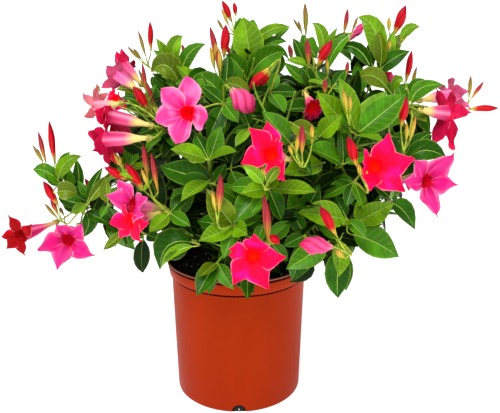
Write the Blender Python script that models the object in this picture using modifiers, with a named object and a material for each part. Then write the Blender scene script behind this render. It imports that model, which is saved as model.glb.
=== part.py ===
"""Potted flowering vine kept as a bush: plastic pot, soil, stems, boughs and leafy masses.

Metres, +Z up, pot foot on z = 0, the photographed side faces -Y.
"""
import math
import random

import bpy
import bmesh
from mathutils import Matrix, Vector
from mathutils.bvhtree import BVHTree

# Sizes of the pot and soil
POT_HIGH = 0.1653
RIM_R = 0.0840
RIM_EDGE = 0.0006
LIP_R = 0.0810
LIP_HIGH = 0.0169
LIP_SLOPE = 0.0015
WALL_TOP_R = 0.0785
BASE_R = 0.0742
CORNER_R = 0.0030
CORNER_STEPS = 3
WALL = 0.0020
FLOOR = 0.0030
TURN_STEPS = 32
HOLE_R = 0.0080
HOLE_Z = 0.0020
HOLE_IN = 0.0040
HOLE_LONG = 0.0260
HOLE_SIDES = 20
HOLES = 3
SOIL_TOP = 0.1460
SOIL_EDGE = 0.0020
GAP = 0.0003

# Sizes of the limbs
STEM_R = 0.0042
FLARE_R = 0.0055
FLARE_HIGH = 0.0030
KNOB_R = 0.0056
KNOB_HALF = 0.0030
KNOB_TOP = 0.0054
LIMB_STEPS = 4
BOUGH_R = 0.0023
BOUGH_TIP_R = 0.0017
BOUGH_SPREAD = 52.0
BOUGH_DROP = -0.15
TWIG_R = 0.0016
TWIG_TIP_R = 0.0012
BRANCH_FINE = 0.8
STALK_R = 0.0008
STALK_STEPS = 3
BLUNT = 0.0002

# Sizes of the leaves
LEAF_WIDE = 0.54
LEAF_THICK = 0.0016
LEAF_DROOP = 0.10
LEAF_FOLD = 0.10
LEAF_RIDGE = 0.30
LEAF_LONG = 0.050
LEAF_CLAIM = 0.009
PAIR_STEP = 0.022
PAIR_FREE = 0.016
ROOT_OUT = 0.0002

# Sizes of the blooms: notch between lobes over their reach, how far lobes and notches lie
# behind the face over its width, depth of the throat, radius and place of the tube's mouth
LOBES = 5
NOTCH = 0.62
LOBE_BACK = 0.09
NOTCH_BACK = 0.02
THROAT_DEEP = 0.005
MOUTH_R = 0.0085
MOUTH_BACK = 0.011
TUBE_SUNK = 0.002

# Sizes of the buds: shares of a bud's length and width, and the step from one to the next
BUD_FOOT = 0.08
BUD_BELLY = 0.62
BUD_FULL = 0.56
BUD_SHRINK = 0.82
BUD_DROP = 0.0045
BUD_LEAST = 0.006
SPRAY_NEAR = 0.030
SPRAY_NODE = 0.012

# Clear distance between masses, and room kept over the pot and the soil
CLEAR = 0.0005
POT_ROOM = 0.002
SOIL_ROOM = 0.004
MOUTH_FREE_R = 0.070
LOWEST = 0.125
SEED = 41

# The crown is a dome about this middle, with these half widths
CROWN_MID = Vector((0.015, 0.0, 0.255))
CROWN_HALF = Vector((0.225, 0.185, 0.175))
RULE_POINTS = 150
RULE_APART = 0.063
RULE_LOWEST = 0.180
UP = Vector((0, 0, 1))
# Faces that every joined shape leaves at least on its mass
FACES_LEAST = 8

# Stems: foot on the soil and fork, in millimetres
STEMS = {
    "stem_left": ((-22, -4), (-36, -6, 196)),
    "stem_right": ((24, -6), (42, -8, 199)),
    "stem_back": ((2, 24), (2, 38, 203)),
    "stem_front": ((4, -26), (6, -42, 190)),
}
# Foliage masses: the stem that carries each, and where its bough ends, in millimetres
MASSES = {
    "far_left": ("stem_left", (-120, 0, 232)),
    "left_low": ("stem_left", (-70, -52, 214)),
    "left_mid": ("stem_left", (-76, -34, 268)),
    "top_left": ("stem_left", (-52, 16, 306)),
    "back_left": ("stem_left", (-82, 60, 250)),
    "front_left": ("stem_front", (-26, -76, 266)),
    "front_mid": ("stem_front", (24, -86, 268)),
    "front_low": ("stem_front", (2, -94, 213)),
    "front_right": ("stem_front", (76, -66, 262)),
    "low_right": ("stem_right", (72, -62, 216)),
    "right_mid": ("stem_right", (108, -28, 232)),
    "high_right": ("stem_right", (116, 12, 290)),
    "top_right": ("stem_right", (72, 2, 318)),
    "back_right": ("stem_right", (92, 62, 258)),
    "top_mid": ("stem_back", (2, 8, 318)),
    "back_mid": ("stem_back", (2, 84, 286)),
    "back_low": ("stem_back", (8, 96, 222)),
}
# Leading shoots of each mass: tip in millimetres, compass angle and rise of its end, and
# how its first pair of leaves is turned as seen from the front
SHOOTS = {
    "far_left": (((-200, 0, 250), -120, 70, 20), ((-175, -10, 227), -95, 35, 45)),
    "left_mid": (((-73, -75, 328), -120, 30, 60), ((-112, -70, 288), -100, 55, 10),
                 ((-142, -45, 241), -110, 20, 80)),
    "left_low": (((-46, -95, 217), -110, 10, 155), ((-68, -110, 252), -100, 20, 40),
                 ((-100, -60, 213), -120, -15, 90)),
    "top_left": (((-70, 10, 384), -100, 60, 10), ((-57, -20, 370), -60, 50, 45)),
    "front_left": (((-27, -145, 313), -90, 60, 10), ((-14, -85, 356), -95, 30, 140),
                   ((-23, -135, 288), -95, 25, 30)),
    "top_mid": (((-13, -30, 367), -95, 45, 0), ((11, 20, 388), -85, 65, 10),
                ((33, -60, 365), -80, 35, 0), ((38, 30, 405), -50, 50, 30)),
    "top_right": (((81, -10, 382), -95, 55, 160), ((104, 30, 409), -70, 55, 20),
                  ((96, -60, 368), -90, 35, 10)),
    "high_right": (((157, 20, 375), -80, 60, 20), ((183, -20, 342), -60, 35, 35),
                   ((175, 40, 351), 0, 50, 20)),
    "front_right": (((113, -115, 330), -90, 75, 20), ((99, -130, 306), -100, 50, 10),
                    ((110, -130, 288), -95, 5, 70), ((153, -80, 323), -80, 30, 20)),
    "front_mid": (((49, -140, 327), -80, 50, 35), ((27, -155, 289), -90, 40, 0),
                  ((11, -120, 338), -95, 30, 60)),
    "front_low": (((-4, -150, 251), -95, 20, 30), ((-22, -118, 202), -95, -60, 30),
                  ((28, -150, 237), -85, -5, 45)),
    "low_right": (((96, -140, 232), -95, -30, 30), ((105, -130, 251), -100, 30, 170),
                  ((64, -140, 238), -95, 5, 120)),
    "right_mid": (((119, -100, 238), -60, 25, 25), ((159, -75, 255), -45, 20, 130),
                  ((189, -30, 291), -20, 15, 60)),
}
# Open blooms of each mass: the shoot that carries it, middle of its face in millimetres, the
# way it faces (compass turn and rise), turn of its lobes, length of its tube and its width
BLOOMS = {
    "far_left": ((1, (-245, -25, 199), -145, -14, -25, 44, 56),
                 (1, (-187, -55, 203), -97, -9, -26, 41, 62)),
    "left_mid": ((0, (-159, -20, 347), 153, 12, 10, 50, 60),
                 (0, (-132, 0, 378), 147, 21, 0, 39, 60),
                 (0, (-129, -75, 344), -161, 16, 20, 47, 60),
                 (0, (-134, -89, 317), -155, -1, 14, 48, 58)),
    "front_left": ((1, (-47, -140, 356), -105, 5, -4, 43, 62),),
    "left_low": ((1, (-106, -125, 247), -133, 0, 10, 34, 54),
                 (1, (-115, -115, 262), -155, 6, 30, 35, 60),
                 (1, (-103, -100, 291), -152, 62, 0, 30, 26)),
    "front_mid": ((0, (27, -185, 328), -118, 17, -35, 44, 56),),
    "front_low": ((2, (14, -180, 230), -98, 12, 3, 42, 56),),
    "front_right": ((2, (130, -150, 309), -90, 20, 8, 46, 56),),
    "right_mid": ((1, (197, -70, 273), -60, 4, -32, 30, 64),),
    "high_right": ((1, (226, -30, 340), -20, 1, 20, 35, 62),
                   (1, (240, 10, 355), 13, 13, 0, 45, 60),
                   (2, (177, 50, 367), 105, 16, 0, 32, 44)),
    "top_right": ((2, (75, -95, 350), -54, -45, 0, 30, 28),),
    "top_mid": ((2, (23, -45, 377), 148, 51, 30, 30, 46),),
}
# Bud sprays of each mass: the shoot that carries it, foot of its lead bud in millimetres,
# compass angle and rise, length and width, and the number of buds
SPRAYS = {
    "far_left": ((0, (-207, 0, 276), 180, 85, 50, 7.5, 4),
                 (1, (-202, -20, 234), 180, 63, 36, 9.5, 4)),
    "left_mid": ((0, (-92, -60, 343), 180, 60, 33, 10.0, 5),
                 (1, (-120, -70, 290), 180, 52, 24, 7.0, 3)),
    "left_low": ((1, (-95, -110, 277), 180, 55, 36, 9.0, 5),
                 (1, (-80, -115, 276), 180, 80, 42, 6.0, 2)),
    "top_left": ((0, (-97, 30, 400), 180, 88, 35, 6.5, 4),),
    "front_left": ((0, (-43, -150, 312), 180, 75, 17, 3.5, 1),
                   (1, (-8, -130, 374), -45, -45, 33, 15.0, 1)),
    "top_mid": ((0, (-15, -20, 395), 90, 88, 40, 10.0, 4),
                (1, (-8, 50, 428), 180, 70, 29, 7.5, 5)),
    "top_right": ((0, (78, 50, 414), 180, 88, 38, 6.0, 3),
                  (0, (85, -30, 385), 0, 60, 34, 10.5, 2),
                  (0, (76, -20, 386), 180, 86, 32, 6.5, 1),
                  (1, (126, 40, 408), 0, 48, 28, 9.0, 1),
                  (1, (119, 50, 416), 0, 80, 31, 5.5, 2),
                  (2, (88, -90, 364), 90, 88, 18, 5.0, 1)),
    "high_right": ((0, (180, 50, 416), 0, 68, 38, 11.5, 5),
                   (1, (190, 20, 366), 0, 80, 36, 7.5, 2),
                   (1, (163, -90, 330), 0, 80, 33, 9.0, 3),
                   (1, (258, 0, 337), 0, 2, 35, 7.5, 1),
                   (1, (261, 0, 350), 0, 78, 27, 4.5, 2)),
    "front_right": ((0, (100, -135, 345), 180, 80, 24, 4.5, 2),
                    (2, (109, -160, 307), 180, 72, 29, 9.0, 4)),
    "front_mid": ((0, (58, -160, 318), 90, 88, 27, 6.0, 4),
                  (1, (26, -180, 303), 180, 70, 10, 4.0, 2)),
    "front_low": ((0, (-18, -170, 271), 0, 86, 36, 6.5, 2),
                  (2, (27, -190, 244), 180, 84, 44, 7.5, 1),
                  (2, (29, -195, 243), -20, 45, 13, 11.0, 1)),
    "low_right": ((0, (86, -185, 242), 180, 6, 31, 16.0, 1),
                  (0, (89, -170, 248), 180, 61, 32, 9.0, 2)),
}


def mm(point):
    """A point in millimetres as metres."""
    return Vector(point) / 1000.0


def aim(turn, rise):
    """Unit direction from a compass angle and a rise above level, in degrees."""
    a = math.radians(turn)
    e = math.radians(rise)
    return Vector((math.cos(a) * math.cos(e), math.sin(a) * math.cos(e), math.sin(e)))


def square_to(line):
    """Two unit directions square to a line."""
    prop = UP if abs(line.z) < 0.9 else Vector((1, 0, 0))
    one = line.cross(prop).normalized()
    return one, line.cross(one).normalized()


def curve(start, lean, end, arrive, steps):
    """Points of a smooth limb that leaves along lean and comes in along arrive."""
    points = []
    for i in range(steps + 1):
        t = i / steps
        a = 2 * t ** 3 - 3 * t ** 2 + 1
        b = t ** 3 - 2 * t ** 2 + t
        c = -2 * t ** 3 + 3 * t ** 2
        d = t ** 3 - t ** 2
        points.append(start * a + lean * b + end * c + arrive * d)
    return points


def ball(sides, rings):
    """Corners of a small primitive ball as ring and side numbers, and its faces."""
    bm = bmesh.new()
    bmesh.ops.create_uvsphere(bm, u_segments=sides, v_segments=rings + 1, radius=1.0)
    bm.verts.index_update()
    corners = []
    for v in bm.verts:
        ring = round(math.acos(max(-1.0, min(1.0, v.co.z))) / math.pi * (rings + 1))
        side = round(math.atan2(v.co.y, v.co.x) / (2 * math.pi) * sides) % sides
        corners.append((ring, side))
    faces = [tuple(v.index for v in f.verts) for f in bm.faces]
    bm.free()
    return corners, faces


def limb(points, radii, sides):
    """Ball drawn out along a path with a ring at every point; an end with a radius is blunt."""
    points = list(points)
    radii = list(radii)
    if radii[0] > 0:
        points.insert(0, points[0] - (points[1] - points[0]).normalized() * BLUNT)
        radii.insert(0, 0)
    if radii[-1] > 0:
        points.append(points[-1] + (points[-1] - points[-2]).normalized() * BLUNT)
        radii.append(0)
    corners, faces = ball(sides, len(points) - 2)
    frames = []
    across = None
    for i, point in enumerate(points):
        line = (points[min(i + 1, len(points) - 1)] - points[max(i - 1, 0)]).normalized()
        if across is None:
            across = square_to(line)[0]
        across = (across - line * across.dot(line)).normalized()
        frames.append((across.copy(), line.cross(across)))
    verts = []
    for ring, side in corners:
        if ring in (0, len(points) - 1):
            verts.append(points[ring].copy())
            continue
        angle = 2 * math.pi * side / sides
        one, two = frames[ring]
        verts.append(points[ring] + (one * math.cos(angle) + two * math.sin(angle)) * radii[ring])
    return verts, faces


def leaf(root, line, face, length, grow=0.0):
    """Ball of eight faces drawn out to a blade: poles at root and tip, two sides, ridge, keel."""
    line = line.normalized()
    face = (face - line * face.dot(line)).normalized()
    side = line.cross(face)
    half = LEAF_THICK / 2 + grow
    wide = LEAF_WIDE * length / 2 + grow
    edge = root + line * length / 2 + face * length * LEAF_FOLD
    ridge = root + line * length * LEAF_RIDGE
    places = {0: edge + side * wide, 1: ridge + face * half, 2: edge - side * wide,
              3: ridge - face * half}
    corners, faces = ball(4, 1)
    verts = []
    for ring, part in corners:
        if ring == 0:
            verts.append(root - line * grow)
        elif ring == 2:
            verts.append(root + line * (length + grow) - face * length * LEAF_DROOP)
        else:
            verts.append(places[part])
    return verts, faces


def bud(node, lean, root, line, length, fat, grow=0.0):
    """Spindle widest past the middle, on its stalk from a node of the spray."""
    reach = (root - node).length
    bend = node * 0.4 + root * 0.6 + (lean - line) * reach * 0.12
    points = [node, bend, root + line * length * BUD_FOOT, root + line * length * BUD_BELLY,
              root + line * (length + grow)]
    thin = STALK_R + grow
    return limb(points, [0, thin, thin * 1.2, fat * BUD_FULL + grow, 0], 3)


def bloom(face_mid, line, roll, tube_long, wide, grow=0.0):
    """Trumpet: a ball with its first pole sunk into the throat, a ring of five lobes behind
    it, a ring round the tube's mouth, and the other pole drawn out to the end of the tube."""
    up = (UP - line * line.z).normalized()
    right = up.cross(line)
    corners, faces = ball(2 * LOBES, 2)
    verts = []
    for ring, part in corners:
        lobe = part % 2 == 0
        angle = math.radians(roll + 180 / LOBES * part)
        out = up * math.cos(angle) + right * math.sin(angle)
        if ring == 0:
            verts.append(face_mid - line * THROAT_DEEP)
        elif ring == 1:
            reach = wide / 2 * (1.0 if lobe else NOTCH) + grow
            verts.append(face_mid + out * reach - line * wide * (LOBE_BACK if lobe else NOTCH_BACK))
        elif ring == 2:
            verts.append(face_mid + out * (MOUTH_R + grow) - line * (MOUTH_BACK + grow))
        else:
            verts.append(face_mid - line * (tube_long + TUBE_SUNK + grow))
    return verts, faces


def along(path, back):
    """Point and direction on a path, a distance back from its tip."""
    i = len(path) - 1
    while i > 1 and back > (path[i] - path[i - 1]).length:
        back -= (path[i] - path[i - 1]).length
        i -= 1
    lead = (path[i] - path[i - 1]).normalized()
    return path[i] - lead * back, lead


class Space:
    """Everything placed so far, with the mass each thing belongs to."""

    def __init__(self):
        self.items = []

    def box(self, shape):
        low = [min(v[i] for v in shape[0]) for i in range(3)]
        high = [max(v[i] for v in shape[0]) for i in range(3)]
        return low, high

    def tree(self, shape):
        return BVHTree.FromPolygons([tuple(v) for v in shape[0]], shape[1], all_triangles=False)

    def add(self, owner, kind, shape):
        self.items.append((owner, kind, self.box(shape), self.tree(shape)))

    def hits(self, shape, owner, own_kinds=()):
        """True where a grown shape meets another mass, a limb, or the named kinds of its own."""
        low, high = self.box(shape)
        tree = self.tree(shape)
        for other, kind, (a, b), item in self.items:
            if other == owner and kind not in own_kinds:
                continue
            if any(low[i] > b[i] or high[i] < a[i] for i in range(3)):
                continue
            if tree.overlap(item):
                return True
        return False


def inside_ground(verts):
    """True where a corner dips into the pot or the soil, or close above the soil."""
    for v in verts:
        r = math.hypot(v.x, v.y)
        if r < RIM_R + POT_ROOM and v.z < POT_HIGH + POT_ROOM:
            if r > MOUTH_FREE_R or v.z < SOIL_TOP + SOIL_ROOM:
                return True
        if v.z < LOWEST:
            return True
    return False


def leaf_face(root, line, lead):
    """Direction a leaf's upper side looks: up, outward and along its shoot."""
    out = (root - CROWN_MID).normalized()
    want = UP * 0.8 + out * 0.7 + lead * 0.35
    face = want - line * want.dot(line)
    if face.length < 0.15:
        face = UP - line * line.z + out * 0.2
        face = face - line * face.dot(line)
    return face.normalized()


def spread(directions):
    """Push unit directions apart until each keeps its distance from the rest."""
    dirs = [d.normalized() for d in directions]
    for _ in range(200):
        for i in range(len(dirs)):
            for k in range(len(dirs)):
                if i == k:
                    continue
                angle = math.degrees(dirs[i].angle(dirs[k]))
                if angle < BOUGH_SPREAD:
                    push = (dirs[i] - dirs[k]) * 0.03
                    dirs[i] = (dirs[i] + push).normalized()
                    dirs[k] = (dirs[k] - push).normalized()
            if dirs[i].z < BOUGH_DROP:
                dirs[i].z = BOUGH_DROP
                dirs[i].normalize()
    return dirs


def limb_curve(name, path, radii, rounds, mat, home):
    """Tapering limb: a curve with a bevel, its radius set point by point, ends closed."""
    data = bpy.data.curves.new(name, "CURVE")
    data.dimensions = "3D"
    data.bevel_depth = 1.0
    data.bevel_resolution = rounds
    data.use_fill_caps = True
    spline = data.splines.new("POLY")
    spline.points.add(len(path) - 1)
    for point, place, radius in zip(spline.points, path, radii):
        point.co = (*place, 1)
        point.radius = radius
    data.materials.append(mat)
    obj = bpy.data.objects.new(name, data)
    home.objects.link(obj)
    return obj


def seat(stem, fork, out):
    """How far from the fork a bough's flat end lies, just clear of the knob along out."""
    deps = bpy.context.evaluated_depsgraph_get()
    mesh = bpy.data.meshes.new_from_object(stem.evaluated_get(deps))
    tree = BVHTree.FromPolygons([v.co for v in mesh.vertices], [p.vertices for p in mesh.polygons])
    bpy.data.meshes.remove(mesh)
    one, two = square_to(out)
    spots = [Vector((0, 0, 0))]
    for ring in (0.25, 0.5, 0.75, 1.0):
        for k in range(16):
            angle = math.pi * k / 8
            spots.append((one * math.cos(angle) + two * math.sin(angle)) * BOUGH_R * ring)
    reach = KNOB_R + 0.0030
    while min(tree.find_nearest(fork + out * reach + spot)[3] for spot in spots) > GAP * 1.2:
        reach -= 0.00003
    return reach


def grow_limbs(space, mat, home):
    """Stems with a swollen fork and one tapering bough to every mass."""
    ends = {}
    for stem, (foot, fork) in STEMS.items():
        fork = mm(fork)
        start = Vector((foot[0] / 1000, foot[1] / 1000, SOIL_TOP + GAP))
        path = curve(start, UP * 0.03, fork, (fork - start) * 0.8, LIMB_STEPS)
        path.insert(1, start + UP * FLARE_HIGH)
        line = (path[-1] - path[-2]).normalized()
        path = path[:-1] + [fork - line * KNOB_HALF, fork, fork + line * KNOB_HALF,
                            fork + line * KNOB_TOP]
        radii = [FLARE_R, FLARE_R * 0.96, STEM_R, STEM_R * 0.92, STEM_R * 0.9,
                 KNOB_R * 0.94, KNOB_R, KNOB_R * 0.82, KNOB_R * 0.30]
        trunk = limb_curve(stem, path, radii, 2, mat, home)
        space.add("limb:" + stem, "limb", limb(path, radii, 8))
        names = [n for n, (s, _) in MASSES.items() if s == stem]
        dirs = spread([mm(MASSES[n][1]) - fork for n in names])
        for name, out in zip(names, dirs):
            end = mm(MASSES[name][1])
            begin = fork + out * seat(trunk, fork, out)
            reach = (end - begin).length
            go = (end - begin).normalized()
            bow = (go * 0.7 + UP * 0.45).normalized()
            path = curve(begin, out * reach * 0.8, end, bow * reach * 0.7, LIMB_STEPS)
            radii = [BOUGH_R + (BOUGH_TIP_R - BOUGH_R) * i / LIMB_STEPS for i in range(LIMB_STEPS + 1)]
            limb_curve("bough_" + name, path, radii, 1, mat, home)
            space.add("limb:" + name, "limb", limb(path, radii, 6))
            ends[name] = (path[-1], (path[-1] - path[-2]).normalized())
    return ends


def rule_tips(rng):
    """Shoots the photograph leaves open: a spiral over the dome, clear of the leading ones."""
    taken = [mm(row[0]) for rows in SHOOTS.values() for row in rows]
    found = {name: [] for name in MASSES}
    for i in range(RULE_POINTS):
        z = 1 - 2 * (i + 0.5) / RULE_POINTS
        r = math.sqrt(max(1 - z * z, 0))
        turn = i * math.pi * (3 - math.sqrt(5))
        out = Vector((r * math.cos(turn), r * math.sin(turn), z))
        reach = 0.84 + 0.08 * rng.random()
        point = CROWN_MID + Vector([out[k] * CROWN_HALF[k] * reach for k in range(3)])
        if point.z < RULE_LOWEST or (point.y < -0.02 and z < 0.55):
            continue
        if any((point - other).length < RULE_APART for other in taken):
            continue
        taken.append(point)
        near = min(((point - mm(hub)).length, name) for name, (_, hub) in MASSES.items())[1]
        found[near].append(point)
    return found


def end_leaves(rng, lead, turn):
    """Leaves round the tip of a shoot: two crossed pairs, the lower one longer."""
    seen = Vector((math.cos(math.radians(turn)), 0, math.sin(math.radians(turn))))
    one = (seen - lead * seen.dot(lead)).normalized()
    two = lead.cross(one).normalized()
    rows = []
    for out, back, tilt, size in ((one, 0.010, 62, 1.05), (two, 0.003, 48, 0.90)):
        for side in (1, -1):
            angle = math.radians(tilt + rng.uniform(-8, 8))
            drift = (out * side + two * rng.uniform(-0.15, 0.15)).normalized()
            line = lead * math.cos(angle) + drift * math.sin(angle)
            rows.append((line, back, LEAF_LONG * size * rng.uniform(0.92, 1.10)))
    return rows


def spray_buds(rows):
    """Every bud of a spray: the lead bud, then lesser ones lower down, left and right by turns."""
    buds = []
    for which, foot, turn, rise, long, fat, count in rows:
        line = aim(turn, rise)
        side = square_to(line)[0]
        for i in range(count):
            sway = side * (1, -1)[i % 2] * min(i, 1) * (0.16 + 0.07 * i)
            lean = (line + sway).normalized()
            root = mm(foot) - line * BUD_DROP * i + sway * 0.018
            scale = BUD_SHRINK ** i / 1000
            if fat * scale >= BUD_LEAST:
                buds.append((which, root, lean, long * scale, fat * scale))
    return buds


def wobble(line, step):
    """The step-th small change of a direction, none at first."""
    if step == 0:
        return line
    one, two = square_to(line)
    angle = step * 2.4
    lean = 0.11 * math.sqrt(step)
    return (line + (one * math.cos(angle) + two * math.sin(angle)) * lean).normalized()


class Growth:
    """Twigs, blooms, buds and leaves of every mass, each clear of limbs and other masses."""

    def __init__(self, space, ends):
        self.space = space
        self.ends = ends
        self.rng = random.Random(SEED)
        self.tips = rule_tips(self.rng)
        self.shapes = {name: [] for name in MASSES}
        self.paths = {name: [] for name in MASSES}
        self.blooms = {name: list(BLOOMS.get(name, ())) for name in MASSES}
        self.sprays = {name: list(SPRAYS.get(name, ())) for name in MASSES}

    def put(self, name, kind, shape):
        self.shapes[name].append(shape)
        self.space.add(name, kind, shape)

    def free(self, name, grown, own_kinds=()):
        """True where a grown shape meets no ground, limb, other mass or named kind of its own."""
        return not inside_ground(grown[0]) and not self.space.hits(grown, name, own_kinds)

    def dress_rule_tips(self):
        """A bloom on every third shoot of the rule, and a bud spray on the next."""
        count = 0
        for name in MASSES:
            first = len(SHOOTS.get(name, ()))
            for index, tip in enumerate(self.tips[name]):
                out = (tip - CROWN_MID).normalized()
                turn = math.degrees(math.atan2(out.y, out.x))
                if count % 3 == 0:
                    spot = (tip + out * 0.052 + UP * 0.012) * 1000
                    self.blooms[name].append((first + index, spot, turn, 12, 20 * count, 42, 58))
                if count % 3 == 1:
                    spot = (tip + out * 0.012 + UP * 0.030) * 1000
                    self.sprays[name].append((first + index, spot, turn, 70, 34, 8.5, 4))
                count += 1

    def twig(self, name, index, tip, arrive, trunk):
        """A shoot from the bough's end or off the mass's first shoot, by the first clear way."""
        hub, lead = self.ends[name]
        begin = hub + lead * GAP
        for step in range(9):
            if trunk is None:
                start = begin
                lean = lead
            else:
                spot = min(1 + (index + step) % 3, len(trunk) - 2)
                start = trunk[spot]
                lean = (trunk[spot + 1] - trunk[spot]).normalized()
            reach = (tip - start).length
            if trunk is not None or step > 0:
                lean = (lean * 0.8 + wobble((tip - start).normalized(), step) * 0.7).normalized()
            path = curve(start, lean * reach * 0.9, tip, arrive * reach * 0.7, LIMB_STEPS)
            if trunk is None:
                path[0] = begin + lead * BLUNT
                path.insert(1, begin + lead * 0.004)
            fine = 1.0 if trunk is None else BRANCH_FINE
            last = len(path) - 1
            radii = [(TWIG_R + (TWIG_TIP_R - TWIG_R) * i / last) * fine for i in range(last + 1)]
            skip = 1 if trunk is None else 0
            if self.free(name, limb(path[skip:], [r + CLEAR for r in radii[skip:]], 3)):
                self.put(name, "twig", limb(path, radii, 3))
                return path
        raise RuntimeError("shoot %d of %s finds no clear way" % (index, name))

    def grow_twigs(self):
        for name in MASSES:
            tips = [(mm(row[0]), aim(row[1], row[2])) for row in SHOOTS.get(name, ())]
            for tip in self.tips[name]:
                out = (tip - CROWN_MID).normalized()
                tips.append((tip, (out + UP * 0.55).normalized()))
            for index, (tip, arrive) in enumerate(tips):
                trunk = self.paths[name][0] if index > 0 else None
                self.paths[name].append(self.twig(name, index, tip, arrive, trunk))

    def stalk(self, name, start, lean, end, arrive):
        """A stalk where its way is clear, or nothing."""
        reach = (end - start).length
        path = curve(start, lean * reach, end, arrive * reach * 0.8, STALK_STEPS)
        radii = [STALK_R * (1.1 - 0.3 * i / STALK_STEPS) for i in range(STALK_STEPS + 1)]
        if not self.free(name, limb(path, [r + CLEAR for r in radii], 3)):
            return None
        self.put(name, "stalk", limb(path, radii, 3))
        return path

    def grow_blooms(self):
        for name in MASSES:
            for which, spot, turn, rise, roll, tube_long, wide in self.blooms[name]:
                path = self.paths[name][which]
                lead = (path[-1] - path[-2]).normalized()
                line = aim(turn, rise)
                face_mid = mm(spot)
                for step in range(6):
                    now = wobble(line, step)
                    sizes = (roll, tube_long / 1000, wide / 1000)
                    if not self.free(name, bloom(face_mid, now, *sizes, CLEAR)):
                        face_mid = face_mid + line * 0.003
                        continue
                    root = face_mid - now * tube_long / 1000
                    if self.stalk(name, path[-1] - lead * 0.002, lead, root, now):
                        self.put(name, "bloom", bloom(face_mid, now, *sizes))
                        break

    def grow_buds(self):
        """Buds that stand close share one stalk; each hangs on its own stalk from there."""
        for name in MASSES:
            groups = []
            for row in spray_buds(self.sprays[name]):
                for group in groups:
                    if group[0][0] == row[0] and (group[0][1] - row[1]).length < SPRAY_NEAR:
                        group.append(row)
                        break
                else:
                    groups.append([row])
            for group in groups:
                self.grow_spray(name, group)

    def grow_spray(self, name, group):
        path = self.paths[name][group[0][0]]
        lead = (path[-1] - path[-2]).normalized()
        mean = Vector((0, 0, 0))
        axis = Vector((0, 0, 0))
        for _, root, line, _, _ in group:
            mean += root / len(group)
            axis += line
        axis.normalize()
        node = mean - axis * SPRAY_NODE
        if len(group) > 1 and (node - path[-1]).length > 0.008:
            path = self.stalk(name, path[-1] - lead * 0.002, lead, node, axis)
        for index, (_, root, line, long, fat) in enumerate(group):
            low, lean = along(path, 0.0013 + 0.0009 * index)
            for step in range(4):
                now = wobble(line, step)
                if self.free(name, bud(low, lean, root, now, long, fat, CLEAR)):
                    self.put(name, "bud", bud(low, lean, root, now, long, fat))
                    break

    def try_leaf(self, name, root, line, lead, length, steps):
        """A leaf by the first clear turn, a little shorter with every try."""
        for step in range(steps):
            turn = wobble(line, step)
            size = length * (1.0 - 0.035 * step)
            face = leaf_face(root, turn, lead)
            if not self.free(name, leaf(root, turn, face, size, CLEAR), ("bloom", "bud")):
                continue
            blade = leaf(root + turn * LEAF_CLAIM, turn, face, size - LEAF_CLAIM)
            if not self.space.hits(blade, name, ("leaf",)):
                self.put(name, "leaf", leaf(root, turn, face, size))
                return

    def grow_end_leaves(self):
        """Leaves round the end of every shoot."""
        for name in MASSES:
            rows = SHOOTS.get(name, ())
            for index, path in enumerate(self.paths[name]):
                lead = (path[-1] - path[-2]).normalized()
                turn = rows[index][3] if index < len(rows) else self.rng.uniform(0, 180)
                for line, back, long in end_leaves(self.rng, lead, turn):
                    root = along(path, back)[0] + line * ROOT_OUT
                    self.try_leaf(name, root, line, lead, long, 6)

    def grow_pairs(self):
        """A pair of leaves lower down every shoot that is long enough."""
        for name in MASSES:
            for path in self.paths[name]:
                turn = self.rng.uniform(0, math.pi)
                total = sum((path[i + 1] - path[i]).length for i in range(len(path) - 1))
                if total - PAIR_FREE <= PAIR_STEP:
                    continue
                root, lead = along(path, PAIR_STEP)
                one, two = square_to(lead)
                for half in (0, math.pi):
                    out = one * math.cos(turn + half) + two * math.sin(turn + half)
                    tilt = math.radians(self.rng.uniform(55, 80))
                    line = lead * math.cos(tilt) + out * math.sin(tilt)
                    size = LEAF_LONG * self.rng.uniform(0.85, 1.15)
                    self.try_leaf(name, root + line * ROOT_OUT, line, lead, size, 2)


def grow_masses(space, ends):
    """The shapes of every mass: twigs first, so leaves never bar the way of others' shoots."""
    growth = Growth(space, ends)
    growth.dress_rule_tips()
    growth.grow_twigs()
    growth.grow_blooms()
    growth.grow_buds()
    growth.grow_end_leaves()
    growth.grow_pairs()
    return growth.shapes


def material(name, colour, rough):
    """Plain Principled material."""
    mat = bpy.data.materials.new(name)
    mat.use_nodes = True
    shader = mat.node_tree.nodes["Principled BSDF"]
    shader.inputs["Base Color"].default_value = (*colour, 1)
    shader.inputs["Roughness"].default_value = rough
    return mat


def add_object(name, verts, faces, mat, home):
    """Object from corners and faces, faces turned outward."""
    mesh = bpy.data.meshes.new(name)
    mesh.from_pydata([tuple(v) for v in verts], [], faces)
    bm = bmesh.new()
    bm.from_mesh(mesh)
    bmesh.ops.recalc_face_normals(bm, faces=bm.faces)
    bm.to_mesh(mesh)
    bm.free()
    mesh.materials.append(mat)
    obj = bpy.data.objects.new(name, mesh)
    home.objects.link(obj)
    return obj


def baked(obj):
    """Give an object the mesh its modifiers make, and drop the modifiers."""
    deps = bpy.context.evaluated_depsgraph_get()
    mesh = bpy.data.meshes.new_from_object(obj.evaluated_get(deps))
    old = obj.data
    obj.modifiers.clear()
    obj.data = mesh
    mesh.name = obj.name
    bpy.data.meshes.remove(old)


def closed(obj):
    """Cut the faces into triangles turned outward, and tell if every edge lies between two."""
    bm = bmesh.new()
    bm.from_mesh(obj.data)
    bmesh.ops.triangulate(bm, faces=bm.faces)
    bmesh.ops.recalc_face_normals(bm, faces=bm.faces)
    bm.to_mesh(obj.data)
    whole = all(len(edge.link_faces) == 2 for edge in bm.edges)
    bm.free()
    return whole


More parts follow.
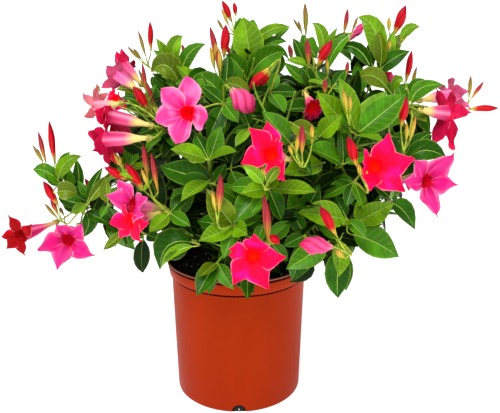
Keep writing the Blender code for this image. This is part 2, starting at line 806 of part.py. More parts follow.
def fuse(name, shapes, mat, home, work):
    """One mass: its shapes joined by a single union, by the first solver that closes it."""
    group = bpy.data.collections.new("fuse_" + name)
    work.children.link(group)
    for i, shape in enumerate(shapes[1:]):
        add_object("%s_%d" % (name, i), *shape, mat, group)
    for solver in ("EXACT", "MANIFOLD"):
        obj = add_object("leaves_" + name, *shapes[0], mat, home)
        joined = obj.modifiers.new("fuse", "BOOLEAN")
        joined.operation = "UNION"
        joined.operand_type = "COLLECTION"
        joined.collection = group
        joined.solver = solver
        baked(obj)
        if closed(obj) and len(obj.data.polygons) > len(shapes) * FACES_LEAST:
            break
        bpy.data.objects.remove(obj, do_unlink=True)
    else:
        raise RuntimeError("the shapes of %s don't join" % name)
    for item in list(group.objects):
        bpy.data.objects.remove(item, do_unlink=True)
    bpy.data.collections.remove(group)


def turned(name, profile, mat, home):
    """Solid turned round the upright axis from a profile in the +X half plane."""
    mesh = bpy.data.meshes.new(name)
    edges = [(i, i + 1) for i in range(len(profile) - 1)]
    mesh.from_pydata([(r, 0, z) for r, z in profile], edges, [])
    mesh.materials.append(mat)
    obj = bpy.data.objects.new(name, mesh)
    home.objects.link(obj)
    screw = obj.modifiers.new("turn", "SCREW")
    screw.axis = "Z"
    screw.steps = TURN_STEPS
    screw.render_steps = TURN_STEPS
    screw.use_merge_vertices = True
    screw.merge_threshold = 0.0001
    screw.use_normal_calculate = True
    return obj


def wall_r(z):
    """Outer radius of the pot wall below the lip at a height."""
    return BASE_R + (WALL_TOP_R - BASE_R) * z / (POT_HIGH - LIP_HIGH)


def pot_profile():
    """The pot's inside from the middle of its floor up, over the rim and down to its foot."""
    under = POT_HIGH - LIP_HIGH
    profile = [(0, FLOOR), (wall_r(FLOOR) - WALL, FLOOR),
               (WALL_TOP_R - WALL, under - LIP_SLOPE), (LIP_R - WALL, under + LIP_SLOPE),
               (RIM_R - WALL, POT_HIGH - RIM_EDGE), (RIM_R - WALL + RIM_EDGE, POT_HIGH),
               (RIM_R - RIM_EDGE, POT_HIGH), (RIM_R, POT_HIGH - RIM_EDGE),
               (LIP_R, under + RIM_EDGE), (LIP_R - RIM_EDGE, under), (WALL_TOP_R, under)]
    for i in range(CORNER_STEPS + 1):
        a = i / CORNER_STEPS * math.pi / 2
        profile.append((wall_r(CORNER_R) - CORNER_R * (1 - math.cos(a)), CORNER_R * (1 - math.sin(a))))
    profile.append((0, 0))
    return profile


def build_pot(home, mat, soil_mat, hidden):
    """Pot with a lip and drain notches round the foot, and the soil in it."""
    pot = turned("pot", pot_profile(), mat, home)
    for i in range(HOLES):
        angle = -math.pi / 2 + 2 * math.pi * i / HOLES
        bpy.ops.mesh.primitive_cylinder_add(vertices=HOLE_SIDES, radius=HOLE_R, depth=HOLE_LONG)
        cut = bpy.context.object
        cut.name = "drain_cut_%d" % i
        cut.matrix_world = (Matrix.Rotation(angle, 4, "Z")
                            @ Matrix.Translation((BASE_R - HOLE_IN, 0, HOLE_Z))
                            @ Matrix.Rotation(math.pi / 2, 4, "Y"))
        cut.hide_render = True
        cut.display_type = "WIRE"
        for col in list(cut.users_collection):
            col.objects.unlink(cut)
        hidden.objects.link(cut)
        cutter = pot.modifiers.new("drain_%d" % i, "BOOLEAN")
        cutter.operation = "DIFFERENCE"
        cutter.solver = "EXACT"
        cutter.object = cut
    inner = wall_r(SOIL_TOP) - WALL - GAP
    soil_profile = [(0, SOIL_TOP), (inner - SOIL_EDGE, SOIL_TOP), (inner, SOIL_TOP - SOIL_EDGE),
                    (wall_r(FLOOR + GAP) - WALL - GAP, FLOOR + GAP), (0, FLOOR + GAP)]
    turned("soil", soil_profile, soil_mat, home)


def main():
    for obj in list(bpy.data.objects):
        bpy.data.objects.remove(obj, do_unlink=True)
    home = bpy.data.collections.new("Mandevilla")
    hidden = bpy.data.collections.new("Cutters")
    work = bpy.data.collections.new("Fusing")
    for col in (home, hidden, work):
        bpy.context.scene.collection.children.link(col)
    plastic = material("pot_plastic", (0.45, 0.07, 0.02), 0.4)
    soil_mat = material("soil_mix", (0.02, 0.015, 0.01), 0.9)
    bark = material("stem_bark", (0.20, 0.22, 0.07), 0.6)
    green = material("foliage", (0.06, 0.20, 0.02), 0.4)
    build_pot(home, plastic, soil_mat, hidden)
    space = Space()
    ends = grow_limbs(space, bark, home)
    for name, shapes in grow_masses(space, ends).items():
        fuse(name, shapes, green, home, work)
    bpy.data.collections.remove(work)


main()
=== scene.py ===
"""Looks of a potted flowering vine kept as a bush: glossy leaves, red and pink trumpets, buds,
green stems and a plastic pot on a pale studio floor.

Metres, +Z up, pot foot on z = 0, the photographed side faces -Y.
"""
import math
import random

import bpy
import numpy as np
from bpy.props import FloatProperty, FloatVectorProperty, IntProperty, PointerProperty
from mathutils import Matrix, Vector, noise


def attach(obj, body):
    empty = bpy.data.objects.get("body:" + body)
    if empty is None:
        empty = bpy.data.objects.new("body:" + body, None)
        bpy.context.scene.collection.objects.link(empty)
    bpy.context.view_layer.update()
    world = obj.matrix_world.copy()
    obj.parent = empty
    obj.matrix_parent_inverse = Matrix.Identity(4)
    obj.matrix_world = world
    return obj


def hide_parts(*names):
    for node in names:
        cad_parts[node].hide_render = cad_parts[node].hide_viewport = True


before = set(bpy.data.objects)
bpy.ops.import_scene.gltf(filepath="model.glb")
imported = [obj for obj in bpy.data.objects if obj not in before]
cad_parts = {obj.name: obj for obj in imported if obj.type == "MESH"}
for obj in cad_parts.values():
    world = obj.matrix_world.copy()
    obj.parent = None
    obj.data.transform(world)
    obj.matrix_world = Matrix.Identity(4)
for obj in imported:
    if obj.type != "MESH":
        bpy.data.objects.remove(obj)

bl_info = {
    "name": "Potted Flowering Vine",
    "version": (1, 0, 0),
    "blender": (4, 5, 0),
    "location": "View3D > Sidebar > Flowering Vine",
    "description": "Builds the pot, soil, stems, leaves, blooms, buds and studio of a potted vine",
    "category": "Object",
}

UP = Vector((0, 0, 1))

# The camera: place, pitch below level, turn to the right, lens on a 36 mm wide sensor
CAMERA_AT = Vector((0.0, -0.778, 0.458))
CAMERA_PITCH = 0.291
CAMERA_PAN = 0.0178
LENS = 50.5
SENSOR = 36.0
PICTURE = (500, 413)
FOCUS = LENS / SENSOR * PICTURE[0]
VIEW_AHEAD = Vector((math.sin(CAMERA_PAN) * math.cos(CAMERA_PITCH),
                     math.cos(CAMERA_PAN) * math.cos(CAMERA_PITCH), -math.sin(CAMERA_PITCH)))
VIEW_RIGHT = VIEW_AHEAD.cross(UP).normalized()
VIEW_UP = VIEW_RIGHT.cross(VIEW_AHEAD)

# The limbs, as in the solids: stem feet and forks, and where each bough ends, in millimetres
STEMS = {
    "stem_left": ((-22, -4), (-36, -6, 196)),
    "stem_right": ((24, -6), (42, -8, 199)),
    "stem_back": ((2, 24), (2, 38, 203)),
    "stem_front": ((4, -26), (6, -42, 190)),
}
MASSES = {
    "far_left": ("stem_left", (-120, 0, 232)),
    "left_low": ("stem_left", (-70, -52, 214)),
    "left_mid": ("stem_left", (-76, -34, 268)),
    "top_left": ("stem_left", (-52, 16, 306)),
    "back_left": ("stem_left", (-82, 60, 250)),
    "front_left": ("stem_front", (-26, -76, 266)),
    "front_mid": ("stem_front", (24, -86, 268)),
    "front_low": ("stem_front", (2, -94, 213)),
    "front_right": ("stem_front", (76, -66, 262)),
    "low_right": ("stem_right", (72, -62, 216)),
    "right_mid": ("stem_right", (108, -28, 232)),
    "high_right": ("stem_right", (116, 12, 290)),
    "top_right": ("stem_right", (72, 2, 318)),
    "back_right": ("stem_right", (92, 62, 258)),
    "top_mid": ("stem_back", (2, 8, 318)),
    "back_mid": ("stem_back", (2, 84, 286)),
    "back_low": ("stem_back", (8, 96, 222)),
}
# The crown's dome: its middle and half sizes
CROWN_MID = Vector((0.015, 0.0, 0.255))
CROWN_HALF = Vector((0.225, 0.185, 0.175))
# The pot as the leaves meet it: height of its soil, radius and height of its lip, the radius
# inside which leaves may dip below the lip, how low they hang outside it, and how far they stay
# off the lip and the soil
SOIL_TOP = 0.146
POT_R = 0.084
POT_HIGH = 0.1653
MOUTH_R = 0.072
LOWEST_LEAF = 0.118
LIP_CLEAR = 0.002
SOIL_CLEAR = 0.004
# Radii of stalks: a bloom's or a spray's, and a leaf's or a bud's
STALK_R = 0.0011
FINE_STALK_R = 0.0008

# The tables below are read from the picture, in its columns and rows and in millimetres.
# In each text rows part at semicolons and words at spaces

# Leading shoots of each mass. The first word is the shoot's tip: column, row and depth. The rest
# are its leaves: column and row of the leaf's tip, its tone (l lime, g green, d deep, o olive,
# s shade), how far that tip stands behind the shoot's tip, and after an @ the leaf's own root
# where it isn't the shoot's tip
SHOOTS = {
    "far_left":
        "62,186,0; 85,208,-10 60,201d+20",
    "left_low":
        "194,241,-95 156,250d+30 212,226s+15 176,222s+12; "
        "170,213,-110 150,233l-20 190,226g-15 188,192d+10; 146,234,-60 128,244g-25 160,240d-20",
    "left_mid":
        "166,131,-75 145,151g 164,116l-25 178,150d-20; "
        "130,168,-70 123,148g 135,146g+20 110,178g+10 146,166l-10; "
        "108,205,-45 106,176o+15 118,222d+10 100,218g-10 124,190d+0",
    "top_left":
        "174,66,10 176,92g-38; 185,82,-20 166,104d-15",
    "front_left":
        "209,160,-145 235,151l-20 172,147l 222,126g+10 196,132d+10; "
        "224,104,-85 202,84d+0 207,140d-20 238,122g-25 246,96g+10; "
        "214,184,-135 180,199l@210,180 160,165d+25 226,163d+10 240,200g+10 176,180d+15",
    "front_mid":
        "291,144,-140 263,114g 340,114l@319,137 318,139o-20@290,122 312,174d-15 322,128g+15; "
        "268,188,-155 241,192l 316,192l 228,184g+15 242,165l-15 282,167l-15 283,222d+10 252,214g-15; "
        "250,128,-120 236,146l-15 230,132d+10 268,134d+0 240,104d+0",
    "front_low":
        "234,226,-150 200,242l 246,234l-35 225,259g 205,191o 196,222d+15 246,192d+10 262,214g+0; "
        "217,262,-118 200,277o 195,294d 208,294g-10 233,289g 236,250d+20; "
        "268,240,-150 255,246g-10@265,222 249,299d@247,272 292,222g+10 288,262d+0 246,222d+10",
    "front_right":
        "356,135,-115 340,77l 316,94l 406,94g 388,91l+10 384,141l 338,118g-35; "
        "343,164,-130 285,174l@325,162 308,145g 343,124d+10 372,154g+5; "
        "354,182,-130 346,206d-15 332,178d+10 364,206g-20 322,196g+5; "
        "390,136,-80 388,112g-20 366,122d-20 414,140d+0 400,160d-15",
    "low_right":
        "338,241,-140 289,271g@329,241 342,276l-28 316,220g+10; "
        "347,219,-130 300,213l 366,238g-20 334,194d+10 342,224l-25; "
        "305,235,-140 283,246d-10 294,282d+0 290,208d+10 330,262g+5",
    "right_mid":
        "356,222,-100 393,204l 363,189l-10 382,226g-10; 391,199,-75 372,180d+5 398,180g-15; "
        "411,156,-30 431,134d+10 398,186d-10 424,182g+0",
    "high_right":
        "377,73,20 389,98d-30 392,48g+15; 407,108,-20 428,121o-25 396,84g+25 430,136d 386,128g-20; "
        "388,92,40 372,70d+10 366,98d-15 420,84g+10",
    "top_right":
        "313,70,-10 330,92g-25; 330,42,30 353,60g 322,62g-25; "
        "332,88,-60 309,81l 345,68d+10 356,92g-10 318,112g-25",
    "top_mid":
        "226,86,-30 251,96o-20 228,54d+10 206,92g+10 233,118d-15; "
        "248,62,20 238,17g+20@244,46 253,18g+20@247,46 240,92g-30; "
        "270,92,-60 249,100d-10 285,112g-30 298,92d+5 276,70g+10; "
        "272,45,30 266,80d-15@284,54 290,60g+10 258,64g-10",
}
# Open blooms of each mass: shoot that carries it, colour, throat and foot of its tube in the
# picture, depth of the throat, length of the tube (less than zero where it comes towards the
# camera), width, how far its face turns from the tube's line to the camera, and the tips of
# its lobes in the picture
BLOOMS = {
    "far_left":
        "1 deep 20,236 59,221 -25 47 50 0.9 8,215 1,237 7,249 25,256 32,224; "
        "1 rose 68,240 80,224 -55 41 64 0.2 82,224 95,256 57,270 37,250 56,224",
    "left_mid":
        "0 pale 98,107 124,103 -40 -34 46 0.0 82,92 97,84 108,93 84,117 96,114; "
        "0 rose 119,76 141,92 -10 -40 44 0.0 106,66 100,88 118,60 126,88 112,92; "
        "0 hot 125,66 143,86 10 -34 40 0.0 116,51 122,49 136,67 119,72 128,80; "
        "0 red 115,100 138,112 -20 34 38 0.3 109,92 119,92 126,108 106,105 113,112; "
        "0 hot 112,117 154,126 -75 -50 54 0.0 94,111 105,130 117,138 131,133 104,106; "
        "0 hot 107,139 152,138 -89 -52 56 0.0 89,131 93,150 109,167 125,154 106,127",
    "front_left":
        "1 pink 187,113 201,109 -140 43 62 0.2 187,76 208,118 177,144 155,120 161,89",
    "left_low":
        "1 red 130,221 163,212 -125 37 54 0.3 109,223 121,238 141,242 149,223 122,205; "
        "1 rose 132,205 166,208 -115 40 62 0.0 106,196 116,180 147,197 125,216 144,215",
    "front_mid":
        "0 red 270,154 291,160 -185 44 58 0.3 267,121 283,143 285,181 241,164 249,128",
    "front_low":
        "2 red 253,257 259,250 -180 42 62 0.2 254,234 286,257 269,289 233,285 225,253",
    "front_right":
        "2 red 376,166 362,172 -150 46 62 0.3 389,133 415,158 405,192 370,191 363,163",
    "right_mid":
        "1 rose 427,181 394,178 -70 46 68 0.2 413,160 454,153 457,184 438,217 402,182",
    "high_right":
        "1 hot 445,113 418,110 -30 -37 62 0.0 455,90 471,113 452,150 428,149 436,88; "
        "1 rose 449,95 417,101 5 -40 52 0.0 453,77 468,92 470,108 438,87 452,112; "
        "2 red 388,77 396,93 50 -32 34 0.0 380,74 389,73 398,83 384,82 392,84",
    "top_right":
        "2 red 313,108 304,91 -95 28 36 0.5 323,109 311,121 320,98 303,113 318,118",
}
# Leaves that arch: shoot, tone, foot, knee and tip of the midrib in the picture, depth and width
ARCHED = {
    "far_left":
        "0 l 58,182 60,158 82,156 -12 14; 0 g 63,184 60,160 70,152 8 12; 0 d 76,196 82,178 76,158 10 12; "
        "0 g 61,184 47,166 33,170 -8 15; 0 g 60,184 50,184 45,172 -16 11; "
        "0 o 56,193 66,188 77,194 -34 18; 1 d 88,206 76,190 64,186 4 13; 0 d 64,192 60,186 56,174 2 8; "
        "1 d 88,206 92,200 86,186 6 10; 1 g 72,196 66,180 67,164 4 13; 1 g 88,200 88,188 77,181 -4 11; "
        "1 l 87,204 80,208 71,213 -22 10; 1 d 87,204 92,184 103,167 -16 10; "
        "1 o 88,204 98,186 115,172 -24 11; 1 s 92,214 98,194 112,182 -10 18; "
        "1 d 84,205 72,202 58,198 -10 14; 1 d 84,212 95,220 82,238 -16 14; "
        "1 d 82,214 98,214 110,225 -12 14",
    "left_low":
        "2 o 126,230 116,240 103,250 -40 10; 2 d 120,226 131,238 127,247 -38 9; "
        "2 s 144,236 139,256 143,273 -60 16; 0 d 197,244 160,232 160,270 -112 25; "
        "0 l 197,246 170,248 161,268 -126 10; 0 s 188,234 172,226 158,222 -90 14; "
        "0 s 204,234 194,228 184,218 -80 18",
    "left_mid":
        "1 l 138,181 131,170 119,175 -108 8; 1 l 142,190 148,190 153,178 -112 7; "
        "0 o 146,100 132,84 116,90 -20 9; 0 d 148,108 134,96 120,98 -30 7; "
        "0 d 152,114 136,106 116,108 -12 10; 0 s 154,120 138,122 122,128 10 14; "
        "0 d 160,124 150,131 138,134 0 11; 1 d 150,148 136,147 122,150 -50 10",
    "front_mid":
        "1 l 264,186 256,171 243,166 -198 9; 1 o 266,186 273,169 281,169 -198 8",
    "top_left":
        "0 l 174,70 169,40 183,36 5 14; 0 l 172,70 165,54 156,38 10 12; 0 g 173,70 164,56 153,50 2 9; "
        "1 g 181,84 181,48 206,44 0 14; 0 o 180,86 168,52 151,72 -12 24; "
        "0 d 168,100 152,88 152,76 -14 12; 1 d 191,88 193,68 210,74 -16 13; "
        "1 d 178,92 166,84 152,73 -4 13; 1 g 224,106 214,74 195,80 -42 20",
    "top_mid":
        "1 l 250,62 249,42 243,17 -8 29; 3 l 252,46 266,25 291,27 12 11; 3 g 273,43 278,34 290,28 20 6; "
        "1 g 258,54 270,36 287,42 16 11; 1 g 249,80 258,54 286,51 -14 25; "
        "0 g 248,82 240,64 226,54 -10 19; 2 o 252,98 236,78 222,86 -50 14",
    "top_right":
        "0 d 308,70 300,52 293,38 0 12; 0 l 308,66 300,60 286,60 -16 8; 1 l 322,62 328,28 312,23 12 12; "
        "1 l 324,60 326,42 338,27 18 8; 1 o 328,48 338,32 352,34 24 5; 0 g 320,62 300,36 306,37 14 16; "
        "1 g 352,34 332,44 326,74 8 13; 0 g 312,84 296,76 284,62 -18 13; 0 s 302,94 288,70 275,85 -24 9; "
        "0 d 310,90 312,72 300,68 -26 13",
    "high_right":
        "0 l 377,70 383,20 358,17 14 20; 0 o 380,68 384,48 378,30 10 15; 0 d 372,72 362,40 338,47 8 13; "
        "0 s 374,68 356,46 354,80 18 15; 0 d 376,75 388,58 410,51 12 17; 0 d 374,70 366,52 373,40 18 12; "
        "0 l 402,42 404,24 420,27 30 11; 0 o 398,56 392,44 400,34 34 10; 0 l 392,58 388,46 394,30 26 10; "
        "1 g 411,106 412,82 444,85 -28 15; 1 g 409,100 410,80 426,80 -10 9; "
        "1 d 408,104 421,112 430,134 -8 15; 1 s 406,108 414,124 424,146 -20 13; "
        "1 l 404,82 396,74 392,92 -24 9; 2 o 390,92 372,66 358,80 -12 18; 2 d 386,92 388,78 372,74 0 9",
    "right_mid":
        "2 d 404,162 424,140 447,159 -48 21; 1 d 390,204 403,203 415,230 -78 19; "
        "2 d 402,158 414,142 432,132 -44 14",
    "low_right":
        "2 s 306,254 312,274 289,282 -120 15; 0 d 343,246 335,272 338,298 -140 22; "
        "0 d 343,250 347,268 346,291 -128 12; 0 d 346,236 351,244 353,253 -100 9; "
        "1 g 350,234 373,238 399,257 -110 29",
    "front_left":
        "1 s 208,126 198,134 182,144 -66 15",
}
# Buds of each mass: shoot that carries it, colour, foot and tip in the picture, depth and width
BUDS = {
    "far_left":
        "0 red 55,164 49,120 0 7.5; 0 salmon 46,163 38,131 0 5.5; 0 olive 43,163 32,144 0 3.5; "
        "0 olive 44,165 37,148 -10 3; 1 red 58,205 43,181 -20 9.5; 1 salmon 58,215 50,195 -10 6; "
        "1 olive 58,219 44,203 -10 4; 1 olive 64,216 60,207 0 3.5",
    "left_low":
        "1 salmon 158,192 151,152 -115 5.5; 1 salmon 148,178 143,143 -100 6; "
        "1 red 144,190 125,163 -110 9; 1 red 128,180 104,167 -100 8; 1 yellow 150,190 141,168 -115 4",
    "left_mid":
        "0 red 150,111 133,86 -60 10; 0 salmon 147,96 142,62 -30 4.5; 0 olive 150,98 138,68 -25 4; "
        "0 salmon 155,112 147,82 -50 5; 0 olive 100,92 96,84 0 3.5; 1 red 121,166 108,150 -70 7; "
        "1 yellow 122,168 113,150 -80 4; 1 yellow 124,170 119,155 -85 4",
    "top_left":
        "0 red 151,51 150,21 30 6.5; 0 olive 146,57 138,30 30 4; 0 olive 140,60 127,46 30 3.5; "
        "0 olive 142,60 133,48 35 3.5; 1 salmon 185,56 182,44 30 4",
    "front_left":
        "0 yellow 190,161 186,144 -150 3.5; 1 pink 231,89 254,112 -130 20",
    "front_mid":
        "0 salmon 302,154 302,124 -160 6; 0 yellow 296,155 298,134 -160 4; "
        "0 yellow 312,144 312,124 -155 4.5; 0 yellow 293,156 288,145 -160 3.5; "
        "1 yellow 265,176 262,166 -180 4",
    "front_low":
        "0 salmon 219,212 221,174 -170 6.5; 0 yellow 216,212 212,190 -170 4; "
        "2 salmon 269,243 264,194 -170 7.5; 2 red 271,243 278,236 -180 11",
    "front_right":
        "0 yellow 347,114 343,89 -135 4.5; 0 yellow 350,114 350,95 -130 4; 2 red 357,166 348,136 -160 9; "
        "2 yellow 362,178 358,163 -160 5; 2 yellow 368,182 364,168 -155 5; "
        "2 yellow 372,184 372,174 -150 4.5",
    "low_right":
        "0 pink 333,247 299,244 -185 16; 0 red 336,235 320,206 -170 9; 0 yellow 345,258 335,250 -170 6",
    "high_right":
        "0 red 394,35 406,5 50 11.5; 0 yellow 399,46 404,28 50 5; 0 yellow 401,44 408,29 45 5; "
        "0 yellow 388,52 390,40 20 5; 0 yellow 389,31 389,17 30 5; 1 red 406,82 412,50 20 7.5; "
        "1 olive 410,92 417,66 20 4.5; 1 red 401,127 406,96 -90 9; 1 yellow 406,142 407,122 -90 4; "
        "1 yellow 409,143 416,116 -85 4.5; 1 olive 469,98 471,75 0 4.5; 1 salmon 471,99 484,81 0 4.5; "
        "1 red 468,109 499,108 0 7.5",
    "top_right":
        "0 olive 306,35 305,2 50 6; 0 olive 301,32 293,18 50 3; 0 olive 302,34 298,20 45 3; "
        "0 salmon 309,66 307,38 -20 6.5; 0 red 317,66 332,40 -30 10.5; 0 yellow 328,76 327,57 -30 3.5; "
        "0 salmon 292,60 289,44 20 5.5; 1 salmon 344,34 348,8 50 5.5; 1 pink 350,40 366,22 40 9; "
        "1 olive 352,32 358,16 50 3.5; 2 salmon 325,94 325,78 -90 5; 2 salmon 346,76 348,61 -30 4.5",
    "top_mid":
        "0 red 224,57 226,24 -20 10; 0 salmon 218,62 210,26 -15 6.5; 0 yellow 219,68 215,42 -20 6; "
        "0 yellow 221,74 219,48 -30 5; 0 yellow 215,70 210,46 -24 5; 0 salmon 219,72 217,50 -26 5; "
        "1 red 232,22 222,0 50 7.5; 1 red 236,16 234,2 50 5.5; 1 yellow 229,26 221,8 45 4; "
        "1 olive 224,31 217,19 40 3.5; 1 salmon 251,64 248,54 0 4; 2 red 269,68 249,89 -75 10; "
        "2 red 270,72 259,86 -70 8",
}
# The crown's outline in the picture, clockwise from the pot's left rim, and the middles and
# radii of the openings inside it that show the sky or the pot's dark mouth
OUTLINE = (
    (166, 268), (159, 270), (151, 256), (149, 264), (143, 272), (136, 266), (133, 250), (125, 242),
    (107, 250), (104, 247), (112, 234), (110, 227), (92, 228), (83, 237), (79, 230), (82, 220),
    (68, 214), (57, 206), (53, 186), (44, 179), (33, 170), (42, 163), (58, 156), (68, 152),
    (81, 156), (81, 178), (88, 188), (94, 178), (108, 166), (111, 150), (114, 130), (112, 110),
    (106, 90), (118, 84), (128, 92), (134, 102), (142, 98), (149, 90), (149, 76), (154, 66),
    (160, 60), (153, 50), (158, 40), (182, 37), (180, 52), (185, 54), (195, 45), (207, 44),
    (198, 56), (188, 72), (198, 71), (209, 75), (203, 82), (214, 84), (222, 84), (224, 62),
    (229, 52), (232, 20), (240, 15), (250, 16), (258, 30), (268, 26), (288, 25), (277, 42),
    (286, 43), (284, 62), (276, 74), (284, 80), (292, 79), (297, 72), (290, 62), (300, 57),
    (292, 38), (304, 39), (306, 31), (313, 22), (323, 30), (328, 36), (337, 27), (335, 37),
    (350, 33), (333, 52), (335, 62), (350, 48), (358, 47), (362, 43), (370, 53), (369, 36),
    (358, 17), (370, 15), (382, 28), (388, 40), (397, 44), (407, 28), (419, 26), (402, 46),
    (410, 49), (397, 68), (396, 78), (408, 90), (414, 83), (422, 80), (440, 84), (428, 98),
    (419, 110), (428, 122), (424, 145), (438, 148), (447, 158), (436, 168), (412, 182), (404, 197),
    (413, 206), (417, 220), (415, 230), (404, 222), (390, 208), (381, 218), (384, 229), (395, 238),
    (400, 256), (388, 254), (372, 248), (355, 243), (349, 252), (353, 276), (350, 289), (340, 297),
    (331, 286), (322, 262), (308, 262), (310, 274), (298, 284), (280, 284), (262, 288), (250, 297),
    (234, 291), (214, 284), (208, 295), (195, 294), (197, 276), (204, 262), (184, 262),
)
OPENINGS = ((344, 57, 7), (108, 104, 5), (116, 188, 4), (288, 91, 4), (280, 97, 3), (131, 97, 4),
            (192, 252, 10), (178, 262, 9), (176, 246, 6))


def tint(name, description, default):
    """A colour that a user may change."""
    return FloatVectorProperty(name=name, description=description, subtype="COLOR", size=3, default=default)


class VineSizes(bpy.types.PropertyGroup):
    """Sizes of the plant that a user may change."""

    leaf_wide: FloatProperty(name="Leaf width", description="Width of a leaf over its length",
                             default=0.50, min=0.3, max=0.8)
    leaf_long: FloatProperty(name="Leaf length", description="Usual length of a leaf",
                             default=0.052, unit="LENGTH")
    leaf_fold: FloatProperty(name="Leaf fold", description="Rise of a leaf's halves over their width",
                             default=0.52)
    pair_step: FloatProperty(name="Pair step", description="Distance between pairs of leaves",
                             default=0.021, unit="LENGTH")
    twig_radius: FloatProperty(name="Twig radius", description="Radius of a shoot at its foot",
                               default=0.0015, unit="LENGTH")
    seed: IntProperty(name="Seed", description="Seed of the growth", default=41)


class VineColours(bpy.types.PropertyGroup):
    """Colours of the plant and its pot that a user may change."""

    # The leaf tones stand partly for light and shade: lime is young leaves and also leaves in the light, deep
    # is a darker green that is also dealt out as painted shade, and shade is painted shade, a near-black
    # green for leaves inside the crown.
    lime: tint("Lime", "Young leaves in the light", (0.15, 0.33, 0.003))
    green: tint("Green", "Grown leaves", (0.060, 0.222, 0.002))
    deep: tint("Deep", "Old leaves", (0.022, 0.105, 0.002))
    olive: tint("Olive", "Leaves seen from below", (0.12, 0.19, 0.004))
    shade: tint("Shade", "Leaves inside the crown", (0.006, 0.026, 0.001))
    rib: tint("Rib", "Midribs", (0.36, 0.55, 0.08))
    red: tint("Red", "Red blooms", (0.92, 0.0, 0.050))
    pink: tint("Pink", "Pink blooms", (0.80, 0.045, 0.26))
    pot: tint("Pot", "Plastic of the pot", (0.335, 0.024, 0.001))


def read(text):
    """Rows of a table's text: a word is a name, a number, or numbers that commas part."""
    def value(word):
        if "," in word:
            return [float(part) for part in word.split(",")]
        return word if word.isalpha() else float(word)

    return [[value(word) for word in row.split()] for row in text.split(";")]


def read_shoots(mass):
    """A mass's leading shoots: the place of each one's tip, and the words for its leaves."""
    rows = [row.split() for row in SHOOTS.get(mass, "").split(";")]
    return [([int(part) for part in row[0].split(",")], row[1:]) for row in rows if row]


def read_leaf(word):
    """Tip column and row, tone, step back and own root of one leaf."""
    body, _, own = word.partition("@")
    mark = next(i for i, letter in enumerate(body) if letter in "lgdos")
    step = int(body[mark + 1:]) / 1000 if body[mark + 1:] else None
    root = [int(part) for part in own.split(",")] if own else None
    return [int(part) for part in body[:mark].split(",")], body[mark], step, root


def mm(point):
    """A point in millimetres as metres."""
    return Vector(point) / 1000.0


def aim(turn, rise):
    """Unit direction from a compass angle and a rise above level, in degrees."""
    a = math.radians(turn)
    e = math.radians(rise)
    return Vector((math.cos(a) * math.cos(e), math.sin(a) * math.cos(e), math.sin(e)))


def seen_at(column, row, depth):
    """The point in metres that the picture shows at a column and row, at a depth along +Y."""
    ray = (VIEW_AHEAD + VIEW_RIGHT * (column - PICTURE[0] / 2) / FOCUS
           + VIEW_UP * (PICTURE[1] / 2 - row) / FOCUS)
    return CAMERA_AT + ray * ((depth - CAMERA_AT.y) / ray.y)


def shown_at(point):
    """Column and row at which the picture shows a point."""
    off = point - CAMERA_AT
    far = off.dot(VIEW_AHEAD)
    return (PICTURE[0] / 2 + FOCUS * off.dot(VIEW_RIGHT) / far,
            PICTURE[1] / 2 - FOCUS * off.dot(VIEW_UP) / far)


def to_camera(point):
    """Direction from a point to the camera."""
    return (CAMERA_AT - point).normalized()


def on_ray(pixel, middle, reach):
    """The nearer and the farther point on the ray through a pixel, at a distance from a middle."""
    ray = (seen_at(*pixel, 0.0) - CAMERA_AT).normalized()
    gap = CAMERA_AT - middle
    half = gap.dot(ray)
    spare = math.sqrt(max(half * half - gap.dot(gap) + reach * reach, 0))
    return CAMERA_AT + ray * (-half - spare), CAMERA_AT + ray * (-half + spare)


def in_outline(point):
    """True where the picture shows a point inside the crown's outline and outside its openings."""
    x, y = shown_at(point)
    if any((x - a) ** 2 + (y - b) ** 2 < r * r for a, b, r in OPENINGS):
        return False
    inside = False
    for (x0, y0), (x1, y1) in zip(OUTLINE, OUTLINE[1:] + OUTLINE[:1]):
        if (y0 > y) != (y1 > y) and x < x0 + (x1 - x0) * (y - y0) / (y1 - y0):
            inside = not inside
    return inside


def square_to(line):
    """Two unit directions square to a line."""
    prop = UP if abs(line.z) < 0.9 else Vector((1, 0, 0))
    one = line.cross(prop).normalized()
    return one, line.cross(one).normalized()


def around(line, turn):
    """Unit direction square to a line, at an angle about it."""
    one, two = square_to(line)
    return one * math.cos(turn) + two * math.sin(turn)


def ease(start, lean, end, arrive, t):
    """Where a smooth line is at a share of its way, leaving along lean and coming in along arrive."""
    return (start * (2 * t ** 3 - 3 * t ** 2 + 1) + lean * (t ** 3 - 2 * t ** 2 + t)
            + end * (-2 * t ** 3 + 3 * t ** 2) + arrive * (t ** 3 - t ** 2))


def curve(start, lean, end, arrive, steps):
    """Points of a smooth limb that leaves along lean and comes in along arrive."""
    return [ease(start, lean, end, arrive, i / steps) for i in range(steps + 1)]


def taper(thick, loss, steps):
    """Radii along a limb that loses a share of its thickness."""
    return [thick * (1 - loss * i / steps) for i in range(steps + 1)]


def lead_of(path):
    """Direction of a path at its tip."""
    return (path[-1] - path[-2]).normalized()


def along(path, back):
    """Point and direction on a path, a distance back from its tip."""
    i = len(path) - 1
    while i > 1 and back > (path[i] - path[i - 1]).length:
        back -= (path[i] - path[i - 1]).length
        i -= 1
    lead = (path[i] - path[i - 1]).normalized()
    return path[i] - lead * back, lead


def length_of(path):
    """Length of a path."""
    return sum((path[i + 1] - path[i]).length for i in range(len(path) - 1))


def out_share(point):
    """How far out a point is from the crown's middle, as a share of its dome's reach."""
    off = point - CROWN_MID
    return math.sqrt(sum((off[k] / CROWN_HALF[k]) ** 2 for k in range(3)))


def in_ground(point):
    """True in the pot, the soil, or too low outside the pot."""
    r = math.hypot(point.x, point.y)
    if r < POT_R + LIP_CLEAR and point.z < POT_HIGH + LIP_CLEAR:
        return r > MOUTH_R or point.z < SOIL_TOP + SOIL_CLEAR
    return point.z < LOWEST_LEAF


